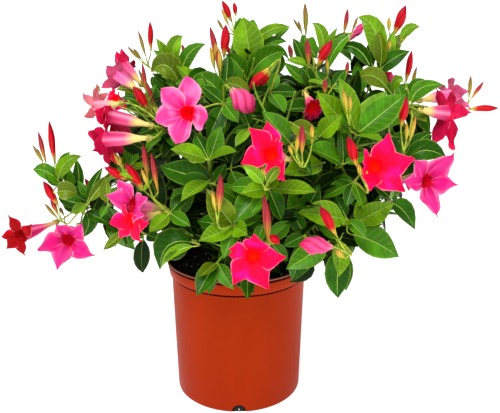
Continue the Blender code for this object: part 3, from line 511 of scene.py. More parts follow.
class Leaf:
    """One leaf: its root, line, upper side, length, tone and bend, or its knee and width."""

    def __init__(self, root, line, face, long, tone, bend, knee=None, wide=None):
        self.root = root
        self.line = line.normalized()
        self.face = (face - self.line * face.dot(self.line)).normalized()
        self.long = long
        self.tone = tone
        self.bend = bend
        self.knee = knee
        self.wide = wide


class Growth:
    """All that the plant grows: limbs with their radii, leaves, blooms, buds, and what must show."""

    def __init__(self, sizes):
        self.sizes = sizes
        self.rng = random.Random(sizes.seed)
        self.stems, self.twigs, self.stalks = [], [], []
        self.leaves, self.blooms, self.buds, self.shown = [], [], [], []

    def stalk(self, start, lean, end, arrive, thick, steps=6):
        reach = (end - start).length
        path = curve(start, lean * reach, end, arrive * reach * 0.8, steps)
        self.stalks.append((path, [thick * (1.1 - 0.25 * i / steps) for i in range(steps + 1)]))
        return path


def leaf_face(root, line, lead, facing):
    """Direction a leaf's upper side looks: up, outward, and towards an open side."""
    out = (root - CROWN_MID).normalized()
    want = UP * 0.8 + out * 0.7 + lead * 0.2 + facing
    face = want - line * want.dot(line)
    if face.length < 0.15:
        face = square_to(line)[0]
    return face.normalized()


def grow_stems(plant):
    """Stems from the soil to their forks and boughs to every mass, as in the solids."""
    ends = {}
    sunk = 0.004
    foot_r = 0.0052
    flare = 0.0014
    bough_r = 0.0025
    for stem, (foot, fork) in STEMS.items():
        fork = mm(fork)
        start = Vector((foot[0] / 1000, foot[1] / 1000, SOIL_TOP - sunk))
        path = curve(start, UP * 0.03, fork, (fork - start) * 0.8, 14)
        plant.stems.append((path, [foot_r - flare * min(i / 4, 1) for i in range(15)]))
        for name, (carrier, end) in MASSES.items():
            if carrier != stem:
                continue
            end = mm(end)
            reach = (end - fork).length
            go = (end - fork).normalized()
            bow = (go * 0.7 + UP * 0.45).normalized()
            path = curve(fork, (go - UP * 0.2) * reach * 0.8, end, bow * reach * 0.7, 12)
            plant.stems.append((path, taper(bough_r, 0.32, 12)))
            ends[name] = (path[-1], lead_of(path))
    return ends


def rule_tips(rng):
    """Shoots that the picture leaves open: a spiral over the dome, clear of the leading ones."""
    taken = [seen_at(column, row, depth / 1000)
             for name in SHOOTS for (column, row, depth), _ in read_shoots(name)]
    found = {name: [] for name in MASSES}
    count = 400
    apart = 0.034
    lowest = 0.175
    for i in range(count):
        z = 1 - 2 * (i + 0.5) / count
        r = math.sqrt(max(1 - z * z, 0))
        turn = i * math.pi * (3 - math.sqrt(5))
        out = Vector((r * math.cos(turn), r * math.sin(turn), z))
        reach = 0.80 + 0.10 * rng.random()
        point = CROWN_MID + Vector([out[k] * CROWN_HALF[k] * reach for k in range(3)])
        if point.z < lowest or (point.y < -0.02 and z < 0.55):
            continue
        if not in_outline(point) or any((point - other).length < apart for other in taken):
            continue
        taken.append(point)
        near = min(((point - mm(hub)).length, name) for name, (_, hub) in MASSES.items())[1]
        found[near].append(point)
    return found


def grow_shoots(plant, ends):
    """The shoots of every mass: one from the bough's tip, the rest branching off it."""
    extra = rule_tips(plant.rng)
    shoots = {}
    for name in MASSES:
        hub, lead = ends[name]
        tips = []
        for (column, row, depth), leaves in read_shoots(name):
            tip = seen_at(column, row, depth / 1000)
            out = (tip - CROWN_MID).normalized()
            tips.append((tip, (out * 0.6 + Vector((0, -0.2, 0.6))).normalized(), leaves))
        for tip in extra[name]:
            out = (tip - CROWN_MID).normalized()
            tips.append((tip, (out + UP * 0.55).normalized(), None))
        trunk = None
        shoots[name] = []
        for index, (tip, arrive, leaves) in enumerate(tips):
            start = hub
            lean = lead
            if trunk is not None:
                spot = min(2 + (index * 2) % 7, len(trunk) - 3)
                start = trunk[spot]
                lean = ((trunk[spot + 1] - trunk[spot]).normalized() * 0.8
                        + (tip - start).normalized() * 0.7).normalized()
            reach = (tip - start).length
            path = curve(start, lean * reach * 0.9, tip, arrive * reach * 0.7, 12)
            if leaves is None and not all(in_outline(spot) for spot in path[4:]):
                continue
            plant.twigs.append((path, taper(plant.sizes.twig_radius, 0.35, 12)))
            shoots[name].append((path, leaves))
            if trunk is None:
                trunk = path
    return shoots


def grow_read_leaves(plant, shoots):
    """The leaves that the picture shows, each from its shoot's tip to its own."""
    rng = plant.rng
    longest = 0.056
    most_back = 0.022
    shown_reach = 0.012
    for name in shoots:
        for ((column, row, depth), leaves), (path, _) in zip(read_shoots(name), shoots[name]):
            for word in leaves:
                pixel, tone, step, own = read_leaf(word)
                root = seen_at(*(own or (column, row)), depth / 1000)
                tip = seen_at(*pixel, root.y)
                if step is None:
                    step = -min(math.sqrt(max(longest ** 2 - (tip - root).length ** 2, 0)), most_back)
                tip = seen_at(*pixel, root.y + step)
                line = (tip - root).normalized()
                face = leaf_face(root, line, lead_of(path), to_camera(root) * 0.8)
                face = face + line.cross(face) * rng.uniform(-0.5, 0.5)
                long = (tip - root).length
                plant.leaves.append(Leaf(root, line, face, long, tone, rng.uniform(0.02, 0.12)))
                plant.shown.append((root.lerp(tip, 0.55), shown_reach))


def hides_shown(plant, spots):
    """True where a leaf would stand between the camera and a bloom or leaf read from the picture."""
    touching = 0.004
    for middle, reach in plant.shown:
        view = to_camera(middle)
        for spot in spots:
            ahead = (spot - middle).dot(view)
            if ahead > touching and (spot - middle - view * ahead).length < reach:
                return True
    return False


def grow_arched_leaves(plant, shoots):
    """The leaves at the crown's edge that the picture shows whole, each on its own arching line."""
    rng = plant.rng
    blade_per_mm = 0.00115
    shown_per_mm = 0.0005
    at_tip = 0.004
    for name, text in ARCHED.items():
        for which, tone, foot, knee, tip, depth, wide in read(text):
            path = shoots[name][int(which)][0]
            root = seen_at(*foot, depth / 1000)
            end = seen_at(*tip, (depth + rng.uniform(-4, 8)) / 1000)
            bend = seen_at(*knee, (depth - 8) / 1000)
            line = (bend - root).normalized()
            view = to_camera(root)
            face = view + UP * 0.5 + line.cross(view) * rng.uniform(-0.35, 0.35)
            long = ((bend - root).length + (end - bend).length + (end - root).length) / 2
            if (path[-1] - root).length > at_tip:
                lead = lead_of(path)
                plant.stalk(path[-1] - lead * 0.002, lead, root, line, FINE_STALK_R)
            plant.leaves.append(Leaf(root, line, face, long, tone, 0, (bend, end), wide * blade_per_mm))
            plant.shown.append(((root + bend * 2 + end) / 4, wide * shown_per_mm))


def grow_rule_leaves(plant, shoots):
    """Leaf pairs down every bough and shoot, up to the tips of the rule's own shoots."""
    rng = plant.rng
    sizes = plant.sizes
    near_tip = 0.010
    first_pair = 0.003
    most_pairs = 6
    reach_of_dome = 0.99
    pairs_on_bough = (0.4, 0.6, 0.8, 1.0)
    sizes_tried = (0.8, 0.65)

    def try_leaf(root, line, lead, long, tone):
        tip = root + line * long
        if in_ground(tip) or in_ground(root + line * long * 0.6) or out_share(tip) > reach_of_dome:
            return False
        face = leaf_face(root, line, lead, Vector((0, 0, 0)))
        face = face + line.cross(face) * rng.uniform(-0.3, 0.3)
        side = line.cross(face).normalized() * long * sizes.leaf_wide * 0.45
        middle = root + line * long * 0.5
        spots = (tip, middle, middle + side, middle - side)
        if not all(in_outline(spot) for spot in spots) or hides_shown(plant, spots):
            return False
        plant.leaves.append(Leaf(root, line, face, long, tone, rng.uniform(0.05, 0.18)))
        return True

    for path, _ in plant.stems[-len(MASSES):]:
        for share in pairs_on_bough:
            root, lead = along(path, length_of(path) * (1 - share))
            turn = rng.uniform(0, math.pi)
            for half in (0, math.pi):
                line = (around(lead, turn + half) + lead * 0.4).normalized()
                # Painted shade: leaves on the boughs, inside the crown, take the shade tone, or the deep one
                # near the boughs' ends.
                try_leaf(root, line, lead, sizes.leaf_long, "s" if share < 0.9 else "d")
    for rows in shoots.values():
        for path, leaves in rows:
            total = length_of(path)
            back = sizes.pair_step if leaves is not None else first_pair
            turn = rng.uniform(0, math.pi)
            count = 0
            while back < total - near_tip and count < most_pairs:
                root, lead = along(path, back)
                for half in (0, math.pi):
                    out = around(lead, turn + half)
                    # Painted shade: the deeper a leaf sits inside the crown, and the more so at its front,
                    # the likelier it takes the shade tone.
                    deep = (1.0 - out_share(root)) * (1.0 if root.y > 0.03 else 2.0)
                    inside = back > near_tip
                    tone = "s" if rng.random() < deep else rng.choice("ggd" if inside else "lgg")
                    for size in (rng.uniform(0.85, 1.15), *sizes_tried):
                        tilt = math.radians(rng.uniform(50, 80) if inside else rng.uniform(35, 60))
                        line = (lead * math.cos(tilt) + out * math.sin(tilt)).normalized()
                        if try_leaf(root, line, lead, sizes.leaf_long * size, tone):
                            break
                turn += math.pi / 2 + rng.uniform(-0.2, 0.2)
                back += sizes.pair_step * rng.uniform(0.85, 1.15)
                count += 1


def grow_blooms(plant, shoots):
    """Open blooms on their stalks, and some on the shoots that the picture doesn't show."""
    rng = plant.rng
    shown_per_mm = 0.00046
    tube_shown = 0.014
    out_of_tip = 0.045
    rule_tube = 0.042
    rule_wide = 0.058
    highest_row = 110
    for name, text in BLOOMS.items():
        for which, colour, throat, foot, depth, tube_long, wide, look, *tips in read(text):
            middle = seen_at(*throat, depth / 1000)
            root = on_ray(foot, middle, abs(tube_long) / 1000)[tube_long > 0]
            view = to_camera(middle)
            face = (middle - root).normalized() + view * look
            grow_bloom(plant, shoots[name][int(which)][0], colour, middle, root, face, 0, wide / 1000, tips)
            plant.shown.append((middle - view * 0.014, wide * shown_per_mm))
            plant.shown.append((middle.lerp(root, 0.7) - view * 0.012, tube_shown))
    count = 0
    for name in MASSES:
        for path, leaves in shoots[name]:
            if leaves is not None:
                continue
            tip = path[-1]
            out = (tip - CROWN_MID).normalized()
            turn = math.degrees(math.atan2(out.y, out.x))
            if count % 5 == 0 and tip.y > 0.06:
                middle = tip + out * out_of_tip + UP * 0.012
                root = middle - aim(turn + rng.uniform(-25, 25), 12) * rule_tube
                colour = ("red", "pink")[(count // 5) % 2]
                spots = [middle + Vector((0.024, 0, 0)) * k for k in (-1, 0, 1)]
                if all(in_outline(spot) for spot in spots) and shown_at(middle)[1] > highest_row:
                    grow_bloom(plant, path, colour, middle, root, middle - root,
                               rng.uniform(0, 72), rule_wide, ())
            elif count % 5 == 2:
                grow_spray(plant, path, tip + out * 0.012 + UP * 0.022, turn)
            count += 1


def grow_bloom(plant, path, colour, middle, root, face, roll, wide, tips):
    """One bloom from its throat, the foot of its tube and its facing, and its stalk."""
    line = (middle - root).normalized()
    lead = lead_of(path)
    back = line * 0.7 + UP * 0.5
    plant.stalk(path[-1] - lead * 0.003, (lead + back * 0.2).normalized(), root, line, STALK_R)
    plant.blooms.append((colour, middle, root, face.normalized(), roll, wide, tips))


def grow_spray(plant, path, node, turn):
    """A spray of buds by rule on a shoot that the picture doesn't show."""
    tallest = 0.048
    bud_long = 0.034
    bud_fat = 0.0085
    if not in_outline(node + UP * tallest):
        return
    plant.stalk(path[-1], lead_of(path), node, UP, 0.0009)
    for i, colour in enumerate(("red", "salmon", "olive", "yellow")):
        lean = aim(turn + 120 * i, 62 - 8 * i)
        root = node + lean * (0.012 - 0.002 * i)
        plant.stalk(node - UP * (0.001 * i), lean, root, lean, 0.0007, 3)
        fat = bud_fat * 0.78 ** i * plant.rng.uniform(0.9, 1.1)
        plant.buds.append((colour, root, lean, bud_long * 0.8 ** i, fat))


def grow_read_buds(plant, shoots):
    """The buds that the picture shows, gathered into sprays that meet at a node."""
    spray_reach = 0.030
    node_below = 0.013
    own_stalk = 0.008
    for name, text in BUDS.items():
        sprays = []
        for which, colour, foot, tip, depth, fat in read(text):
            root = seen_at(*foot, depth / 1000)
            end = seen_at(*tip, depth / 1000)
            item = (colour, root, (end - root).normalized(), (end - root).length, fat / 1000)
            for carrier, items in sprays:
                if carrier == which and (items[0][1] - root).length < spray_reach:
                    items.append(item)
                    break
            else:
                sprays.append((which, [item]))
        for which, items in sprays:
            path = shoots[name][int(which)][0]
            lead = lead_of(path)
            axis = sum((item[2] for item in items), Vector()).normalized()
            mean = sum((item[1] for item in items), Vector()) / len(items)
            node = mean - axis * node_below
            if len(items) > 1 and (node - path[-1]).length > own_stalk:
                path = plant.stalk(path[-1] - lead * 0.002, lead, node, axis, STALK_R)
            for i, (colour, root, line, long, fat) in enumerate(items):
                low, axis_here = along(path, 0.0008 * i)
                plant.stalk(low, axis_here, root, line, FINE_STALK_R, 4)
                plant.buds.append((colour, root, line, long, fat))


def grow_side_shoots(plant, shoots):
    """Finer shoots off the main ones, which fill the crown between them."""
    rng = plant.rng
    branch_at = (0.35, 0.62)
    reach_of_dome = 0.80
    thick = 0.0010
    for rows in shoots.values():
        for path, _ in list(rows):
            total = length_of(path)
            for share in branch_at:
                root, lead = along(path, total * share)
                out = around(lead, rng.uniform(0, 2 * math.pi))
                aimed = (lead * 0.6 + out * 0.8 + UP * 0.25).normalized()
                tip = root + aimed * rng.uniform(0.035, 0.055)
                if out_share(tip) > reach_of_dome or in_ground(tip) or not in_outline(tip):
                    continue
                way = curve(root, lead * 0.02, tip, aimed * 0.03, 5)
                plant.twigs.append((way, taper(thick, 0.3, 5)))
                rows.append((way, None))


def grow():
    """Grow the whole plant."""
    plant = Growth(bpy.context.scene.vine_sizes)
    shoots = grow_shoots(plant, grow_stems(plant))
    for step in (grow_read_leaves, grow_arched_leaves, grow_blooms, grow_read_buds, grow_side_shoots,
                 grow_rule_leaves):
        step(plant, shoots)
    return plant


def finish_piece(piece, slot, *starts):
    """Let a piece ride on the plant in place of the solids whose names start so; its slot is not used."""
    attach(piece, "root")
    nodes = [name for start in starts for name in sorted(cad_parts) if name.startswith(start)]
    if nodes:
        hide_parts(*nodes)


class Batch:
    """Many small shapes joined into one mesh, with float attributes on its points."""

    def __init__(self):
        self.points = []
        self.faces = []
        self.facts = {}
        self.count = 0

    def add(self, points, faces, **facts):
        self.points.append(points)
        self.faces.extend([tuple(i + self.count for i in face) for face in faces])
        for key, values in facts.items():
            self.facts.setdefault(key, []).append(values)
        self.count += len(points)

    def piece(self, name, material, slot="foliage", starts=("leaves_",)):
        """The finished piece, if anything was added."""
        if not self.count:
            return
        mesh = bpy.data.meshes.new(name)
        mesh.from_pydata([tuple(p) for p in np.concatenate(self.points)], [], self.faces)
        for key, rows in self.facts.items():
            field = mesh.attributes.new(key, "FLOAT", "POINT")
            field.data.foreach_set("value", np.concatenate(rows).astype(np.float32))
        mesh.polygons.foreach_set("use_smooth", [True] * len(mesh.polygons))
        mesh.update()
        made = bpy.data.objects.new(name, mesh)
        bpy.context.collection.objects.link(made)
        made.data.materials.append(material)
        finish_piece(made, slot, *starts)


def unit(rows):
    """Rows of vectors at length one."""
    return rows / np.maximum(np.linalg.norm(rows, axis=-1, keepdims=True), 1e-9)


def ring(sides):
    """Angles of the points round a ring."""
    return np.arange(sides) * 2 * math.pi / sides


def grid_faces(rows, columns, closed=False):
    """Quads of a grid of points, closed round its columns or not."""
    faces = []
    for i in range(rows - 1):
        for j in range(columns if closed else columns - 1):
            k = (j + 1) % columns
            faces.append((i * columns + j, i * columns + k, (i + 1) * columns + k, (i + 1) * columns + j))
    return faces


def closed_faces(rows, sides):
    """Faces of a tube whose ends close to its last two points, at its foot and at its tip."""
    faces = grid_faces(rows, sides, True)
    for j in range(sides):
        k = (j + 1) % sides
        faces.append((rows * sides, k, j))
        faces.append((rows * sides + 1, (rows - 1) * sides + j, (rows - 1) * sides + k))
    return faces


def tube(path, radii, sides):
    """Points and faces of a tube that follows a path, closed at both ends."""
    line = np.array([tuple(p) for p in path])
    ahead = unit(np.gradient(line, axis=0))
    one = np.array(square_to(Vector(ahead[0]))[0])
    turn = ring(sides)
    rows = []
    for place, way, radius in zip(line, ahead, radii):
        one = one - way * one.dot(way)
        one = one / np.linalg.norm(one)
        two = np.cross(way, one)
        rows.append(place + np.outer(np.cos(turn) * radius, one) + np.outer(np.sin(turn) * radius, two))
    points = np.concatenate(rows + [line[:1] - ahead[:1] * radii[0] * 0.5,
                                    line[-1:] + ahead[-1:] * radii[-1] * 0.5])
    return points, closed_faces(len(line), sides)


# A leaf's outline: half width over its greatest, at stations from its foot to its tip
LEAF_STATIONS = (0.0, 0.08, 0.20, 0.34, 0.50, 0.66, 0.80, 0.91, 1.0)
LEAF_WIDTHS = (0.03, 0.42, 0.80, 0.98, 1.0, 0.84, 0.56, 0.25, 0.01)
# Its columns from edge to edge over the midrib, and how much of its length is stalk
LEAF_COLUMNS = (-1.0, -0.45, 0.0, 0.45, 1.0)
STEMLET = 0.07
# Its midrib: half width at the foot over the leaf's length, share lost to the tip, and clearance
RIB_WIDE = 0.0125
RIB_LOSS = 0.72
RIB_CLEAR = 0.00005


def leaf_points(leaf, sizes, rng):
    """Points of one leaf's blade, row by row from its foot to its tip, and its upper side there."""
    line = np.array(leaf.line)
    face = np.array(leaf.face)
    side = np.cross(line, face)
    long = leaf.long
    half = long * sizes.leaf_wide / 2 * rng.uniform(0.9, 1.08)
    fold = sizes.leaf_fold * rng.uniform(0.5, 1.3)
    wave = rng.uniform(0.0, 0.05)
    phase = rng.uniform(0, 6.28)
    hook = rng.uniform(-0.06, 0.06)
    if leaf.knee:
        knee, end = (np.array(p - leaf.root) for p in leaf.knee)
        half = leaf.wide / 2
    rows = []
    for s, w in zip(LEAF_STATIONS, LEAF_WIDTHS):
        t = STEMLET + (1 - STEMLET) * s
        mid = (line * t * long - face * leaf.bend * long * (s * s - 0.35 * s)
               + side * hook * long * s * s)
        if leaf.knee:
            mid = 2 * t * (1 - t) * knee + t * t * end
            course = unit(2 * (1 - 2 * t) * knee + 2 * t * end)
            face = unit(face - course * face.dot(course))
            side = np.cross(course, face)
        for c in LEAF_COLUMNS:
            lift = fold * abs(c) * half * w * (1.0 - 0.25 * abs(c))
            ripple = wave * half * abs(c) ** 2 * math.sin(phase + s * 9 + (2 if c > 0 else 0))
            rows.append(mid + side * c * half * w + face * (lift + ripple))
    return np.array(leaf.root) + np.array(rows), face


def rib_points(blade, face, long):
    """Points and faces of a leaf's midrib: a slim ridge that stands on its fold."""
    rows = []
    blade = blade.reshape(len(LEAF_STATIONS), len(LEAF_COLUMNS), 3)
    for s, row in zip(LEAF_STATIONS[:-1], blade):
        mid = row[len(LEAF_COLUMNS) // 2]
        thick = long * RIB_WIDE * (1 - RIB_LOSS * s)
        rows += [mid + unit(row[-1] - mid) * thick + face * RIB_CLEAR, mid + face * thick * 0.55,
                 mid + unit(row[0] - mid) * thick + face * RIB_CLEAR, mid - face * thick * 0.6]
    last = len(rows) - 4
    faces = grid_faces(len(LEAF_STATIONS) - 1, 4, True)
    return np.array(rows), faces + [(3, 2, 1, 0), (last, last + 1, last + 2, last + 3)]


def spindle_width(s):
    """A spindle's half width over its greatest, at a share of its length."""
    if s < 0.5:
        return 0.22 + 0.78 * math.sin(math.pi * (s * 1.02) ** 1.15)
    return math.sin(math.pi * s ** 1.15) ** 0.85 if s < 0.995 else 0.02


def spindle(root, line, long, fat, sides, rings, swirl, ridge):
    """A slim foot, a fat middle and a pointed tip with a slow twist: points, faces, share of its
    length and depth of its grooves."""
    one, two = (np.array(side) for side in square_to(line))
    root = np.array(root)
    line = np.array(line)
    ribs = np.cos(ring(sides) * 5)
    rows = []
    shares = np.linspace(0, 1, rings)
    for s in shares:
        turn = ring(sides) + swirl * s
        push = fat / 2 * spindle_width(s) * (1 + ridge * ribs)
        rows.append(root + line * long * s
                    + np.outer(np.cos(turn) * push, one) + np.outer(np.sin(turn) * push, two))
    points = np.concatenate(rows + [[root], [root + line * long * 1.01]])
    share = np.append(np.repeat(shares, sides), (0.0, 1.0))
    groove = np.append(np.tile(ribs * 0.5 + 0.5, rings), (0.5, 0.5))
    return points, closed_faces(rings, sides), share, groove


# Lobes: stations from the throat to the tip, and the half widths of a lobe's full shoulder and
# of its straighter side there, over its greatest
PETAL_REACH = (0.0, 0.14, 0.28, 0.42, 0.56, 0.70, 0.82, 0.92, 1.0)
PETAL_SHAPES = {
    "star": ((0.62, 0.86, 1.05, 1.02, 0.80, 0.53, 0.31, 0.16, 0.02),
             (0.62, 0.77, 0.86, 0.80, 0.60, 0.38, 0.23, 0.12, 0.02)),
    "slim": ((0.60, 0.66, 0.74, 0.74, 0.62, 0.44, 0.28, 0.15, 0.02),
             (0.60, 0.60, 0.62, 0.56, 0.46, 0.34, 0.22, 0.12, 0.02)),
    "round": ((0.58, 0.76, 0.94, 1.04, 1.04, 0.90, 0.66, 0.38, 0.03),
              (0.58, 0.68, 0.78, 0.84, 0.84, 0.72, 0.50, 0.28, 0.03)),
}
PETAL_COLUMNS = (-1.0, -0.8, -0.55, -0.28, 0.0, 0.28, 0.55, 0.8, 1.0)
PETAL_THICK = 0.00045


def lobe_tip(pixel, middle, ahead, radius):
    """Where a lobe ends: on the picture's ray through its tip, as far from the throat as it is long."""
    ends = on_ray(pixel, middle, radius)
    return np.array(min(ends, key=lambda end: abs((end - middle).dot(ahead) - 0.1 * radius)))


def petal(middle, ahead, tip, throat, shape, ruffle, rng):
    """One lobe from the throat's edge to its tip: front and back points, share of its reach, how
    far each point is from its middle line, and its streaks."""
    out = tip - middle
    out = out - ahead * out.dot(ahead)
    if np.linalg.norm(out) < 0.002:
        out = np.array(square_to(Vector(ahead))[0])
    out = out / np.linalg.norm(out)
    start = middle + out * throat
    span = np.linalg.norm(tip - start)
    toward = (tip - start) / span
    curl = rng.uniform(0.25, 0.6)
    lean = unit(ahead * 0.45 + out * 0.7 + toward * 0.4) * span * 0.9
    arrive = unit(toward - ahead * curl) * span * 0.9
    line = ease(start, lean, tip, arrive, np.array(PETAL_REACH)[:, None])
    course = unit(np.gradient(line, axis=0))
    normal = ahead * course[0].dot(out) - out * course[0].dot(ahead)
    half = max(span, 0.016) * 0.49 * rng.uniform(0.94, 1.08)
    tilt = math.tan(math.radians(rng.uniform(6, 13)))
    roll_back = rng.uniform(0.05, 0.35)
    skew = rng.uniform(-0.02, 0.10)
    phase = rng.uniform(0, 6.28)
    rows = []
    streaks = []
    for place, way, share, wide, slim in zip(line, course, PETAL_REACH, *PETAL_SHAPES[shape]):
        normal = unit(normal - way * normal.dot(way))
        side = np.cross(way, normal)
        for c in PETAL_COLUMNS:
            shift = c * half * (wide if c > 0 else slim) + skew * half * math.sin(math.pi * share)
            edge = max(abs(c) - 0.35, 0) * half * wide
            wave = (0.05 * math.sin(share * 6 + c * 2.4)
                    + ruffle * abs(c) ** 1.5 * math.sin(share * 11 + phase + c)) * half * share
            rows.append(place + side * (shift - math.copysign(edge, c) * 0.2 * share)
                        + normal * (shift * tilt * (0.4 + 0.6 * share) * (1 - share)
                                    + wave - roll_back * edge * 1.4 * share))
            streaks.append(0.5 + 0.5 * math.cos(c * 8 + phase) * math.cos(share * 2 + c))
    front = np.array(rows)
    shares = np.repeat(PETAL_REACH, len(PETAL_COLUMNS))
    across = np.tile(np.abs(PETAL_COLUMNS), len(PETAL_REACH))
    grid = front.reshape(len(PETAL_REACH), len(PETAL_COLUMNS), 3)
    face = unit(np.cross(np.gradient(grid, axis=1), np.gradient(grid, axis=0))).reshape(-1, 3)
    if face.mean(axis=0).dot(normal) < 0:
        face = -face
    back = front - face * (PETAL_THICK * (1 - across ** 2))[:, None]
    return front, back, shares, across, np.array(streaks)


# A funnel's outside: depth behind the face over the tube's length, and radius over the throat's
FUNNEL = ((0.0, 1.04), (0.05, 0.96), (0.14, 0.90), (0.28, 0.86), (0.42, 0.80), (0.54, 0.68),
          (0.66, 0.48), (0.78, 0.33), (0.90, 0.27), (1.0, 0.25))
# Its inside: a shallow bright dish
DISH = ((0.0, 1.06), (0.05, 0.84), (0.12, 0.66), (0.19, 0.46), (0.25, 0.22))


def funnel(middle, ahead, up, root, throat, profile, rng, sides=20):
    """A bloom's funnel or dish, bent from its mouth's facing to its foot: points, faces, depth
    along it, and its lengthways streaks."""
    turn = ring(sides)
    phase = rng.uniform(0, 6.28)
    streak = np.clip(0.5 + 0.35 * np.cos(turn * 5 + phase) + 0.25 * np.cos(turn * 3 - phase), 0, 1)
    lean = -ahead * np.linalg.norm(middle - root) * 0.9
    arrive = 2 * (root - middle) - lean
    depths, radii = np.array(profile).T
    d = depths[:, None]
    line = ease(middle, lean, root, arrive, d)
    way = unit(middle * (6 * d ** 2 - 6 * d) + lean * (3 * d ** 2 - 4 * d + 1)
               + root * (6 * d - 6 * d ** 2) + arrive * (3 * d ** 2 - 2 * d))
    rows = []
    for place, course, r in zip(line, way, radii):
        up = unit(up - course * up.dot(course))
        right = np.cross(course, up)
        size = throat * r * (1 + 0.05 * np.cos(turn * 5 + phase))[:, None]
        rows.append(place + np.cos(turn)[:, None] * size * up - np.sin(turn)[:, None] * size * right)
    end = len(profile) * sides
    faces = grid_faces(len(profile), sides, True)
    faces += [(end - sides + j, end - sides + (j + 1) % sides, end) for j in range(sides)]
    return (np.concatenate(rows + [line[-1:]]), faces, np.append(np.repeat(depths, sides), depths[-1]),
            np.append(np.tile(streak, len(profile)), 0.5))


class Finish:
    """A material in the making: its nodes, its main shader and its place on the object."""

    def __init__(self, name, rough, shine=0.5):
        self.material = bpy.data.materials.new(name)
        self.material.use_nodes = True
        self.tree = self.material.node_tree
        self.tree.nodes.clear()
        self.place = self.node("ShaderNodeTexCoord", {}).outputs["Object"]
        self.shader = self.node("ShaderNodeBsdfPrincipled", {"Roughness": rough, "Specular IOR Level": shine})
        self.node("ShaderNodeOutputMaterial", {"Surface": self.shader.outputs["BSDF"]})

    def node(self, kind, feeds, **settings):
        """A node with its settings, and its inputs fed by numbers, colours or other nodes."""
        made = self.tree.nodes.new(kind)
        for key, value in settings.items():
            setattr(made, key, value)
        for key, value in feeds.items():
            self.feed(made.inputs[key], value)
        return made

    def feed(self, socket, value):
        """Give a socket its own number, vector or colour, or link it to another one."""
        if isinstance(value, tuple):
            socket.default_value = (*value, 1.0)[:len(socket.default_value)]
        elif isinstance(value, (int, float)):
            socket.default_value = value
        else:
            self.tree.links.new(value, socket)

    def noise(self, scale, detail=3.0, stretch=None):
        """Values of a noise on the object, stretched along its axes or not."""
        place = self.place
        if stretch:
            place = self.node("ShaderNodeMapping", {"Vector": place, "Scale": stretch}).outputs["Vector"]
        made = self.node("ShaderNodeTexNoise", {"Vector": place, "Scale": scale, "Detail": detail})
        return made.outputs["Fac"]

    def height(self):
        """Height of the place on the object."""
        return self.node("ShaderNodeSeparateXYZ", {"Vector": self.place}).outputs["Z"]

    def fact(self, name):
        """Values of a float attribute of the mesh."""
        return self.node("ShaderNodeAttribute", {}, attribute_name=name).outputs["Fac"]

    def ramp(self, source, stops):
        """Colours dealt out along a value, from (place, colour) stops."""
        made = self.node("ShaderNodeValToRGB", {"Fac": source})
        steps = made.color_ramp.elements
        while len(steps) < len(stops):
            steps.new(0.5)
        for step, (spot, colour) in zip(steps, stops):
            step.position = spot
            step.color = (*colour, 1.0)
        return made.outputs["Color"]

    def blend(self, share, one, two):
        """One colour laid over another by a value."""
        made = self.node("ShaderNodeMix", {"Factor": share, "A": one, "B": two}, data_type="RGBA")
        return made.outputs["Result"]

    def reckon(self, operation, *values):
        """A sum over values and numbers."""
        return self.node("ShaderNodeMath", dict(enumerate(values)), operation=operation).outputs["Value"]

    def ranged(self, source, low, high, lowest=0.35, highest=0.65):
        """A value stretched from its own range to another one."""
        return self.node("ShaderNodeMapRange", {"Value": source, "From Min": lowest, "From Max": highest,
                                                "To Min": low, "To Max": high}).outputs["Result"]

    def colour(self, source):
        self.feed(self.shader.inputs["Base Color"], source)

    def rough(self, source):
        self.feed(self.shader.inputs["Roughness"], source)

    def bump(self, source, height, strength=1.0):
        made = self.node("ShaderNodeBump", {"Height": source, "Distance": height, "Strength": strength})
        self.feed(self.shader.inputs["Normal"], made.outputs["Normal"])


def shaded(colour, share):
    """A colour made darker or lighter."""
    return tuple(min(c * share, 1.0) for c in colour)


def halfway(one, two):
    """The colour halfway between two."""
    return tuple(0.5 * a + 0.5 * b for a, b in zip(one, two))


def leaf_finish(name, colour, shine):
    """A glossy leaf: uneven green, one half darkened as painted shade of its fold, with faint side veins and
    a light margin.
    """
    finish = Finish(name, 0.28, shine)
    across = finish.fact("across")
    green = finish.ramp(finish.noise(75, 4), ((0.36, shaded(colour, 0.75)), (0.5, colour),
                                              (0.66, shaded(colour, 1.30))))
    # Painted shade: the half that the half attribute marks is darkened as the side of the fold turned from
    # the light.
    darker = finish.ranged(finish.fact("half"), 0.0, 0.75, 0.4, 0.6)
    green = finish.blend(darker, green, shaded(colour, 0.62))
    slant = finish.reckon("MULTIPLY_ADD", across, -0.16, finish.fact("along"))
    wave = finish.reckon("SINE", finish.reckon("MULTIPLY", slant, 50.0))
    green = finish.blend(finish.ranged(wave, 0.0, 0.30, 0.55, 1.0), green, shaded(colour, 1.7))
    margin = finish.ranged(across, 0.0, 0.6, 0.84, 1.0)
    finish.colour(finish.blend(margin, green, halfway(shaded(colour, 1.4), (0.34, 0.46, 0.05))))
    finish.rough(finish.ranged(finish.noise(220, 2), 0.22, 0.38))
    finish.bump(finish.noise(420, 2), 0.0003, 0.5)
    return finish.material


def plain_finish(name, colour, rough, scale, change, shine=0.3):
    """An even colour with slight clouding and grain."""
    finish = Finish(name, rough, shine)
    finish.colour(finish.ramp(finish.noise(scale, 3), ((0.35, shaded(colour, 1 - change)),
                                                       (0.65, shaded(colour, 1 + change)))))
    finish.bump(finish.noise(scale * 4, 2), 0.0002, 0.6)
    return finish.material


def bud_finish(name, stops):
    """A bud's colours from its foot to its tip, with painted shade in the grooves of its twist."""
    finish = Finish(name, 0.40, 0.12)
    tinted = finish.ramp(finish.fact("along"), stops)
    # Painted shade: where the groove attribute is low, down in the twist's grooves, the colour darkens.
    groove = finish.ranged(finish.fact("groove"), 0.75, 0.0, 0.0, 0.5)
    finish.colour(finish.blend(groove, tinted, shaded(stops[-1][1], 0.55)))
    finish.bump(finish.noise(500, 2), 0.0002, 0.5)
    return finish.material


